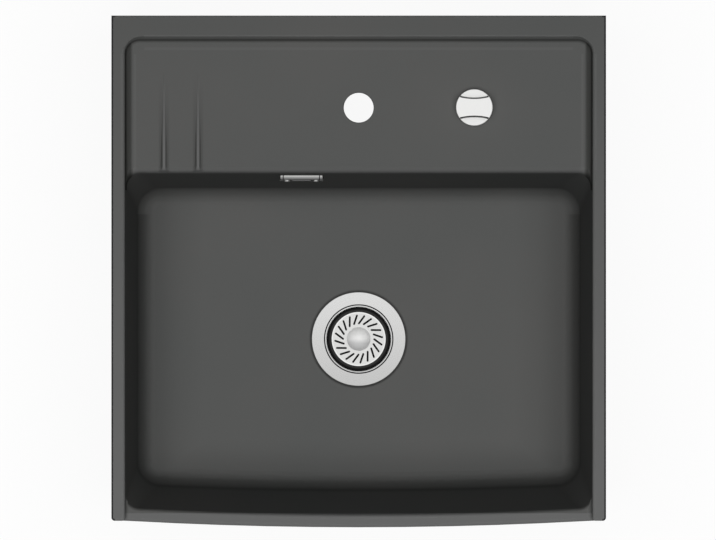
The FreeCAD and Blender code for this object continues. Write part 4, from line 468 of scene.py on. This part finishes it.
def flange_steel(centre):
    """The waste's flange: a painted reflection makes it brighter to the back, with painted shade in the
    groove round its dish and on the dish's walls.
    """
    s = brushed_steel("flange_steel", centre, (0.73, 0.73, 0.725))
    s.shade(s.ramp(s.y, centre.y + FLANGE_REACH, centre.y - FLANGE_REACH), (0.56, 0.56, 0.555))
    radius = s.distance(centre)
    s.shade(s.both(s.over(radius, FLANGE_GROOVE[0]), s.under(radius, FLANGE_GROOVE[1])), DARK)
    upright = s.under(s.math("ABSOLUTE", s.up), FLANGE_DISH_SLOPE)
    s.shade(s.both(s.under(radius, FLANGE_DISH_R), upright), DARK)
    return s.material


def strainer_steel(centre):
    """The perforated disc: its slots' walls and its underside lie in the dark."""
    s = brushed_steel("strainer_steel", centre, (0.74, 0.74, 0.73), 0.30)
    radius = s.distance(centre)
    s.shade(s.over(radius, STRAINER_RIM_R), (0.88, 0.88, 0.87))
    s.shade(s.both(s.under(radius, STRAINER_SLOTS_R), s.under(s.up, LEVEL_SLOPE)), DARK)
    return s.material


def cap_steel(centre):
    """A painted reflection makes the satin cap bright to the back and a little greyer to the front."""
    s = brushed_steel("cap_steel", centre, (0.84, 0.84, 0.83), 0.50)
    s.principled.inputs["Metallic"].default_value = CAP_METAL
    s.shade(s.ramp(s.y, centre.y + CAP_TONE[0], centre.y + CAP_TONE[1]), (0.60, 0.60, 0.60))
    return s.material


def basket_steel(centre):
    """The basket is dark inside, where hardly any light gets."""
    s = brushed_steel("basket_steel", centre, (0.60, 0.60, 0.59), 0.30)
    x, y = s.offset(centre)
    outward = s.math("ADD", s.math("MULTIPLY", s.normal[0], x), s.math("MULTIPLY", s.normal[1], y))
    s.shade(s.either(s.under(outward, -1 * MM), s.over(s.up, LEVEL_SLOPE)), DARK)
    return s.material


def knob_steel(centre):
    """The knob's turned steel, with a painted shadow line along the foot of its two finger scoops."""
    s = brushed_steel("knob_steel", centre, (0.84, 0.84, 0.83), 0.34)
    top = s.both(s.under(s.distance(centre), KNOB_TOP_R), s.over(s.up, KNOB_TOP_SLOPE))
    for side, tone in ((1, KNOB_BACK_TONE), (-1, KNOB_FRONT_TONE)):
        off = s.math("SUBTRACT", s.distance((centre.x, centre.y + side * (KNOB_WAIST + KNOB_SCOOP_R))),
                     KNOB_SCOOP_R)
        line = s.both(s.over(off, KNOB_SCOOP_LINE[0]), s.under(off, KNOB_SCOOP_LINE[1]))
        s.shade(s.both(line, top), (tone, tone, tone))
    return s.material


def plain_metal(name, color, roughness):
    s = Shader(name, color, roughness, 1.0)
    grit = s.noise(scale=600.0, detail=2.0)
    s.rough(s.spread(grit, roughness * 0.8, roughness * 1.25))
    s.color(s.mix(s.noise(scale=60.0), scaled(color, 0.93), color))
    s.bump(grit, 0.006 * MM)
    return s.material


TRIM_FACE_TONE = (0.8 * MM, 3.4 * MM)   # from the wall: painted shade darkens the trim's upper side to its face
TRIM_TOP_SLOPE = 0.3
TRIM_TOP_SHARE = 0.9
TRIM_JOINT = 4.6 * MM                   # from each end to a dark joint line
TRIM_JOINT_HALF = 0.6 * MM


def trim_chrome():
    """The overflow's trim: bright by the wall, with painted shade darkening its upper side to its face, and a
    dark joint near each end.
    """
    s = Shader("trim_chrome", (0.60, 0.60, 0.59), 0.20, 1.0)
    low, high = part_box("overflow_trim")
    centre, half = (low + high) / 2, (high - low) / 2
    s.color(s.mix(s.noise(scale=60.0), (0.50, 0.50, 0.49), (0.56, 0.56, 0.55)))
    toward_face = s.ramp(s.y, high.y - TRIM_FACE_TONE[0], high.y - TRIM_FACE_TONE[1])
    s.shade(s.both(toward_face, s.over(s.up, TRIM_TOP_SLOPE)), (0.13, 0.13, 0.13), TRIM_TOP_SHARE)
    from_middle = s.math("ABSOLUTE", s.math("SUBTRACT", s.x, centre.x))
    from_joint = s.math("ABSOLUTE", s.math("SUBTRACT", from_middle, half.x - TRIM_JOINT))
    s.shade(s.under(from_joint, TRIM_JOINT_HALF), DARK)
    s.rough(s.spread(s.noise(scale=600.0, detail=2.0), 0.16, 0.24))
    return s.material


# ---------------------------------------------------------------- plastics and rubber
GUARD_RING = (35.2 * MM, 36.4 * MM)     # radii between which the seal ring turns from grey to black


def moulded_plastic(name, color, roughness):
    s = Shader(name, color, roughness)
    s.rough(s.spread(s.noise(scale=90.0), roughness - 0.06, roughness + 0.08))
    s.color(s.mix(s.noise(scale=35.0), scaled(color, 0.88), scaled(color, 1.08)))
    s.bump(s.noise(scale=1500.0, detail=2.0), 0.02 * MM)
    return s.material


def rubber():
    s = Shader("black_rubber", (0.018, 0.018, 0.018), 0.55)
    s.rough(s.spread(s.noise(scale=160.0), 0.48, 0.66))
    s.color(s.mix(s.noise(scale=80.0), (0.014, 0.014, 0.014), (0.026, 0.026, 0.025)))
    s.bump(s.noise(scale=1800.0, detail=2.0), 0.02 * MM)
    return s.material


def guard_rubber(centre):
    """The strainer's seal ring: black outside, with a greyer slope inside."""
    s = Shader("guard_rubber", (0.02, 0.02, 0.02), 0.6, Specular_IOR_Level=0.12)
    s.color(s.mix(s.noise(scale=80.0), (0.020, 0.020, 0.020), (0.034, 0.034, 0.033)))
    s.shade(s.ramp(s.distance(centre), *GUARD_RING), (0.004, 0.004, 0.004))
    s.bump(s.noise(scale=1800.0, detail=2.0), 0.02 * MM)
    return s.material


# ---------------------------------------------------------------- dressing the CAD nodes
def materials():
    drain, knob = centre_of("drain_flange"), centre_of("knob_cap")
    return {
        "ceramic": glaze(),
        "brushed_steel": brushed_steel("brushed_steel", drain, (0.66, 0.66, 0.65)).material,
        "knob_steel": knob_steel(knob),
        "polished_steel": brushed_steel("polished_steel", drain, (0.72, 0.72, 0.71), 0.20).material,
        "chrome": plain_metal("chrome", (0.50, 0.50, 0.49), 0.16),
        "trim_chrome": trim_chrome(),
        "steel": plain_metal("plain_steel", (0.58, 0.58, 0.57), 0.28),
        "brass": plain_metal("brass", (0.75, 0.57, 0.28), 0.24),
        "rubber": rubber(),
        "black_plastic": moulded_plastic("black_plastic", (0.035, 0.035, 0.037), 0.42),
        "grey_plastic": moulded_plastic("grey_plastic", (0.33, 0.34, 0.35), 0.45),
        "white_plastic": moulded_plastic("white_plastic", (0.76, 0.76, 0.73), 0.40),
        "sheath_plastic": moulded_plastic("sheath_plastic", (0.045, 0.045, 0.047), 0.36),
        "hose_plastic": moulded_plastic("hose_plastic", (0.60, 0.61, 0.62), 0.38),
    }


def dress_nodes(looks):
    """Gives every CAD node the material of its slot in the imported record, or one of its own."""
    drain = centre_of("drain_flange")
    own = {"drain_flange": flange_steel(drain), "strainer_disc": strainer_steel(drain),
           "strainer_cap": cap_steel(drain), "strainer_basket": basket_steel(drain),
           "strainer_guard": guard_rubber(drain)}
    slots = {row["node"]: row["material_slot"] for row in frame["record"]["subparts"]}
    for name, node in NODES.items():
        node.data.materials.clear()
        node.data.materials.append(own.get(name) or looks[slots[name]])


# ---------------------------------------------------------------- fine pieces
HOSE_ROUTE = [(-0.0692, 0.1438, 0.1479), (-0.0692, 0.1355, 0.0700), (-0.0692, 0.1231, -0.0460),
              (-0.0648, 0.0140, -0.0445), (-0.0636, -0.0189, -0.0440), (-0.0311, -0.0514, -0.0440)]
HOSE_R, HOSE_VALLEY_R, HOSE_BORE_R, HOSE_PITCH = 11.0 * MM, 9.7 * MM, 8.6 * MM, 4.6 * MM
HOSE_STEPS, HOSE_SIDES = 96, 28         # points of the route to a span, and sides of the hose
NUT_R, NUT_LENGTH = 14.5 * MM, 12.0 * MM
NUT_GRIPS, NUT_GRIP = 20, 0.45 * MM     # number and height of the finger grips
NUT_EDGE_LENGTH, NUT_EDGE_DROP = 1.2 * MM, 0.8 * MM     # rounding of the nut's ends
NUT_STEPS, NUT_GRIP_SIDES = 20, 8       # steps along the nut, and sides to each grip
OUTLET_R, OUTLET_THREAD, OUTLET_PITCH = 23.9 * MM, 22.0 * MM, 2.3 * MM
OUTLET_LEAD = 1.5 * MM                  # plain end before the thread
SLEEVE_R, SLEEVE_PITCH = 14.0 * MM, 1.5 * MM
SLEEVE_LEAD, SLEEVE_STOP = 1.0 * MM, 0.5 * MM       # plain lengths at the end and under the nut
THREAD_DEPTH = 0.5                      # share of the pitch
THREAD_FLANK = 2.6                      # how fast the flanks rise; 2 would leave no flat root
THREAD_STEPS, THREAD_SIDES = 8, 64      # steps to each turn, and sides round it
THREAD_WALL = 0.3 * MM                  # how far the thread's tube reaches into what carries it
TRIM_CORNER = 3.5 * MM
TRIM_EDGE = 1.2 * MM                    # rounding of the trim's outer edge
TRIM_WINDOW = (14.0 * MM, 3.5 * MM)     # half width and half height
TRIM_WINDOW_R = 3.4 * MM                # its ends are nearly half round
TRIM_WINDOW_EDGE = 0.8 * MM             # chamfer


def route_points(route, resolution):
    """Points along the smooth curve that a route's points pull at."""
    curve = bpy.data.curves.new("route", "CURVE")
    curve.dimensions = "3D"
    curve.resolution_u = resolution
    spline = curve.splines.new("NURBS")
    spline.points.add(len(route) - 1)
    for point, place in zip(spline.points, route):
        point.co = (*place, 1.0)
    spline.order_u = 3
    spline.use_endpoint_u = True
    line = bpy.data.objects.new("route", curve)
    mesh = bpy.data.meshes.new_from_object(line)
    points = [vertex.co.copy() for vertex in mesh.vertices]
    bpy.data.objects.remove(line)
    bpy.data.meshes.remove(mesh)
    return points


def shell_along(mesh, points, outer, bore, sides):
    """Adds a closed tube along points; outer(turn, along) gives its outside radius."""
    rings = []
    along = 0.0
    across = (points[1] - points[0]).normalized().orthogonal().normalized()
    for k, point in enumerate(points):
        ahead = (points[min(k + 1, len(points) - 1)] - points[max(k - 1, 0)]).normalized()
        across = (across - ahead * across.dot(ahead)).normalized()
        upright = ahead.cross(across)
        along += (point - points[k - 1]).length if k else 0.0
        outside, inside = [], []
        for side in range(sides):
            turn = side / sides
            out = across * math.cos(turn * 2 * math.pi) + upright * math.sin(turn * 2 * math.pi)
            outside.append(mesh.verts.new(point + out * outer(turn, along)))
            inside.append(mesh.verts.new(point + out * bore))
        rings.append((outside, inside))
    for side in range(sides):
        after = (side + 1) % sides
        for (out_a, in_a), (out_b, in_b) in zip(rings, rings[1:]):
            mesh.faces.new((out_a[side], out_a[after], out_b[after], out_b[side])).smooth = True
            mesh.faces.new((in_a[after], in_a[side], in_b[side], in_b[after])).smooth = True
        (out_a, in_a), (out_b, in_b) = rings[0], rings[-1]
        mesh.faces.new((out_a[after], out_a[side], in_a[side], in_a[after]))
        mesh.faces.new((out_b[side], out_b[after], in_b[after], in_b[side]))


def piece(name, mesh, material, replaced=()):
    """Makes an object of a bmesh on the basin; it may stand in for CAD nodes."""
    data = bpy.data.meshes.new(name)
    mesh.to_mesh(data)
    mesh.free()
    data.materials.append(material)
    made = bpy.data.objects.new(name, data)
    bpy.context.scene.collection.objects.link(made)
    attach(made, "basin")
    if replaced:
        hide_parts(*replaced)


def overflow_hose(material):
    """The corrugated hose from the overflow to the waste; its ends are plain under the nuts."""
    points = route_points(HOSE_ROUTE, HOSE_STEPS)
    length = sum((b - a).length for a, b in zip(points, points[1:]))
    plain = NUT_LENGTH + HOSE_PITCH / 2

    def outer(turn, along):
        if min(along, length - along) < plain:
            return HOSE_R
        wave = 0.5 + 0.5 * math.cos((along - plain) / HOSE_PITCH * 2 * math.pi)
        return HOSE_VALLEY_R + (HOSE_R - HOSE_VALLEY_R) * wave

    mesh = bmesh.new()
    shell_along(mesh, points, outer, HOSE_BORE_R, HOSE_SIDES)
    piece("corrugated_hose", mesh, material, ["overflow_hose"])


def hose_nuts(material):
    """The two clamp nuts with finger grips round them."""
    def outer(turn, along):
        grip = max(0.0, math.cos(turn * NUT_GRIPS * 2 * math.pi)) * NUT_GRIP
        from_end = min(along, NUT_LENGTH - along)
        rounding = NUT_EDGE_DROP * max(0.0, 1 - from_end / NUT_EDGE_LENGTH) ** 2
        return NUT_R - NUT_GRIP + grip - rounding

    mesh = bmesh.new()
    for end, inner in ((HOSE_ROUTE[0], HOSE_ROUTE[1]), (HOSE_ROUTE[-1], HOSE_ROUTE[-2])):
        step = (Vector(inner) - Vector(end)).normalized() * (NUT_LENGTH / NUT_STEPS)
        points = [Vector(end) + step * k for k in range(NUT_STEPS + 1)]
        shell_along(mesh, points, outer, HOSE_R, NUT_GRIPS * NUT_GRIP_SIDES)
    piece("gripped_nuts", mesh, material, ["hose_nuts"])


def screw_thread(name, centre, low, high, radius, pitch, material):
    """A right-hand thread round an upright tube, from height low to high."""
    def outer(turn, along):
        phase = (along / pitch - turn) % 1.0
        rise = max(0.0, 1.0 - abs(phase - 0.5) * THREAD_FLANK)
        fade = max(0.0, min(1.0, along / pitch, (high - low - along) / pitch))
        return radius + pitch * THREAD_DEPTH * rise * fade

    steps = round((high - low) / pitch * THREAD_STEPS)
    points = [Vector((centre.x, centre.y, low + (high - low) * k / steps)) for k in range(steps + 1)]
    mesh = bmesh.new()
    shell_along(mesh, points, outer, radius - THREAD_WALL, THREAD_SIDES)
    piece(name, mesh, material)


def slot_outline(half_x, half_z, corner, steps=6):
    """Points of an upright rectangle with round corners, as (x, z)."""
    points = []
    for quarter, (sign_x, sign_z) in enumerate(((1, 1), (-1, 1), (-1, -1), (1, -1))):
        for k in range(steps + 1):
            angle = (quarter + k / steps) * math.pi / 2
            points.append((sign_x * (half_x - corner) + corner * math.cos(angle),
                           sign_z * (half_z - corner) + corner * math.sin(angle)))
    return points


def overflow_trim(material):
    """The overflow's trim: a plate with round corners, a rounded outer edge and a slot through it."""
    low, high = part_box("overflow_trim")
    centre, half, size = (low + high) / 2, (high - low) / 2, high - low
    mesh = bmesh.new()

    def loop(half_x, half_z, corner, proud):
        made = []
        for x, z in slot_outline(half_x, half_z, corner):
            wall = high.y - (half.z - z) * BACK_DRAFT
            made.append(mesh.verts.new((centre.x + x, wall - proud, centre.z + z)))
        return made

    face = size.y - size.z * BACK_DRAFT
    window_x, window_z = TRIM_WINDOW
    outside = [(0.0, 0.0), (0.0, face - TRIM_EDGE), (TRIM_EDGE / 3, face - TRIM_EDGE / 3), (TRIM_EDGE, face)]
    loops = [loop(half.x - inset, half.z - inset, TRIM_CORNER - inset, proud) for inset, proud in outside]
    loops += [loop(window_x + TRIM_WINDOW_EDGE, window_z + TRIM_WINDOW_EDGE, window_z, face),
              loop(window_x, window_z, TRIM_WINDOW_R, face - TRIM_WINDOW_EDGE),
              loop(window_x, window_z, TRIM_WINDOW_R, 0.0)]
    for outer, inner in zip(loops, loops[1:] + loops[:1]):
        for k in range(len(outer)):
            after = (k + 1) % len(outer)
            mesh.faces.new((outer[k], outer[after], inner[after], inner[k]))
    bmesh.ops.recalc_face_normals(mesh, faces=mesh.faces)
    piece("trim_plate", mesh, material, ["overflow_trim"])


def fine_pieces(looks):
    overflow_trim(looks["trim_chrome"])
    overflow_hose(looks["hose_plastic"])
    hose_nuts(looks["grey_plastic"])
    outlet_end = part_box("waste_body")[0].z
    screw_thread("outlet_thread", centre_of("drain_flange"), outlet_end + OUTLET_LEAD,
                 outlet_end + OUTLET_THREAD, OUTLET_R, OUTLET_PITCH, looks["black_plastic"])
    sleeve_end, nut_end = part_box("knob_sleeve")[0].z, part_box("knob_nut")[0].z
    screw_thread("sleeve_thread", centre_of("knob_sleeve"), sleeve_end + SLEEVE_LEAD,
                 nut_end - SLEEVE_STOP, SLEEVE_R, SLEEVE_PITCH, looks["brass"])


# ---------------------------------------------------------------- stage
def floor():
    """A pale floor at the object's lowest point, which lights the object as a darker grey."""
    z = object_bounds()[0][2]
    corners = [(x * FLOOR_REACH, y * FLOOR_REACH, z) for x, y in ((-1, -1), (1, -1), (1, 1), (-1, 1))]
    mesh = bpy.data.meshes.new("floor")
    mesh.from_pydata(corners, [], [(0, 1, 2, 3)])
    made = bpy.data.objects.new("floor", mesh)
    bpy.context.scene.collection.objects.link(made)
    material = bpy.data.materials.new("pale_floor")
    material.use_nodes = True
    material.node_tree.nodes.clear()
    s = Nodes(material.node_tree)
    seen = s.seen_directly()
    diffuse = s.node("ShaderNodeBsdfDiffuse")
    s.link(s.ramp(seen, 0.0, 1.0, FLOOR_BOUNCE, FLOOR_GREY), diffuse.inputs["Color"])
    white = s.node("ShaderNodeEmission")
    shown = s.mix_shaders(s.math("MULTIPLY", seen, FLOOR_SHOWN), diffuse.outputs[0], white.outputs[0])
    s.link(shown, s.node("ShaderNodeOutputMaterial").inputs["Surface"])
    mesh.materials.append(material)
    made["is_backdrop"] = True


def world():
    """White where the camera sees it, and a faint even light on the object."""
    made = bpy.data.worlds.new("studio")
    made.use_nodes = True
    made.node_tree.nodes.clear()
    s = Nodes(made.node_tree)
    ambient, white = [s.node("ShaderNodeBackground", Color=(1.0, 1.0, 1.0, 1.0), Strength=strength)
                      for strength in (AMBIENT, 1.0)]
    shown = s.mix_shaders(s.seen_directly(), ambient.outputs[0], white.outputs[0])
    s.link(shown, s.node("ShaderNodeOutputWorld").inputs["Surface"])
    bpy.context.scene.world = made


def softbox(name, size, place, target, radiance):
    """A rectangular lamp of an even brightness, where 1 is white, aimed at a point."""
    light = bpy.data.lights.new(name, "AREA")
    light.shape = "RECTANGLE"
    light.size, light.size_y = size
    light.energy = radiance * math.pi * size[0] * size[1]
    made = bpy.data.objects.new(name, light)
    bpy.context.scene.collection.objects.link(made)
    made.location = place
    made.rotation_euler = (Vector(target) - Vector(place)).to_track_quat("-Z", "Y").to_euler()
    made.visible_camera = False
    made.visible_glossy = False


def lights():
    """One large lamp overhead, and low strips that light only the outside, not the bowl."""
    softbox("overhead", OVERHEAD_SIZE, OVERHEAD_PLACE, OVERHEAD_TARGET, OVERHEAD)
    aim = Vector((0.0, 0.0, STRIP_HEIGHT))
    for quarter in range(4):
        way = Matrix.Rotation(quarter * math.pi / 2, 3, "Z") @ Vector((0.0, -STRIP_REACH, 0.0))
        softbox(f"side_strip_{quarter}", STRIP_SIZE, aim + way, aim, SIDE_FILL)


def camera():
    """Looks straight down, as the photograph does, and frames it at the rims' height."""
    data = bpy.data.cameras.new("camera")
    data.sensor_fit = "HORIZONTAL"
    data.sensor_width = SENSOR
    data.lens = SENSOR * CAMERA_DISTANCE / (IMAGE_WIDTH * SCALE)
    data.clip_end = VIEW_END
    made = bpy.data.objects.new("camera", data)
    bpy.context.scene.collection.objects.link(made)
    x = (IMAGE_WIDTH / 2 - CENTRE_PX[0]) * SCALE
    y = (CENTRE_PX[1] - IMAGE_HEIGHT / 2) * SCALE
    made.location = (x, y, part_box("sink_basin")[1].z + CAMERA_DISTANCE)
    made.rotation_euler = (0.0, 0.0, 0.0)
    bpy.context.scene.camera = made


looks = materials()
dress_nodes(looks)
fine_pieces(looks)
floor()
world()
lights()
camera()
bpy.context.scene.view_settings.view_transform = "Standard"
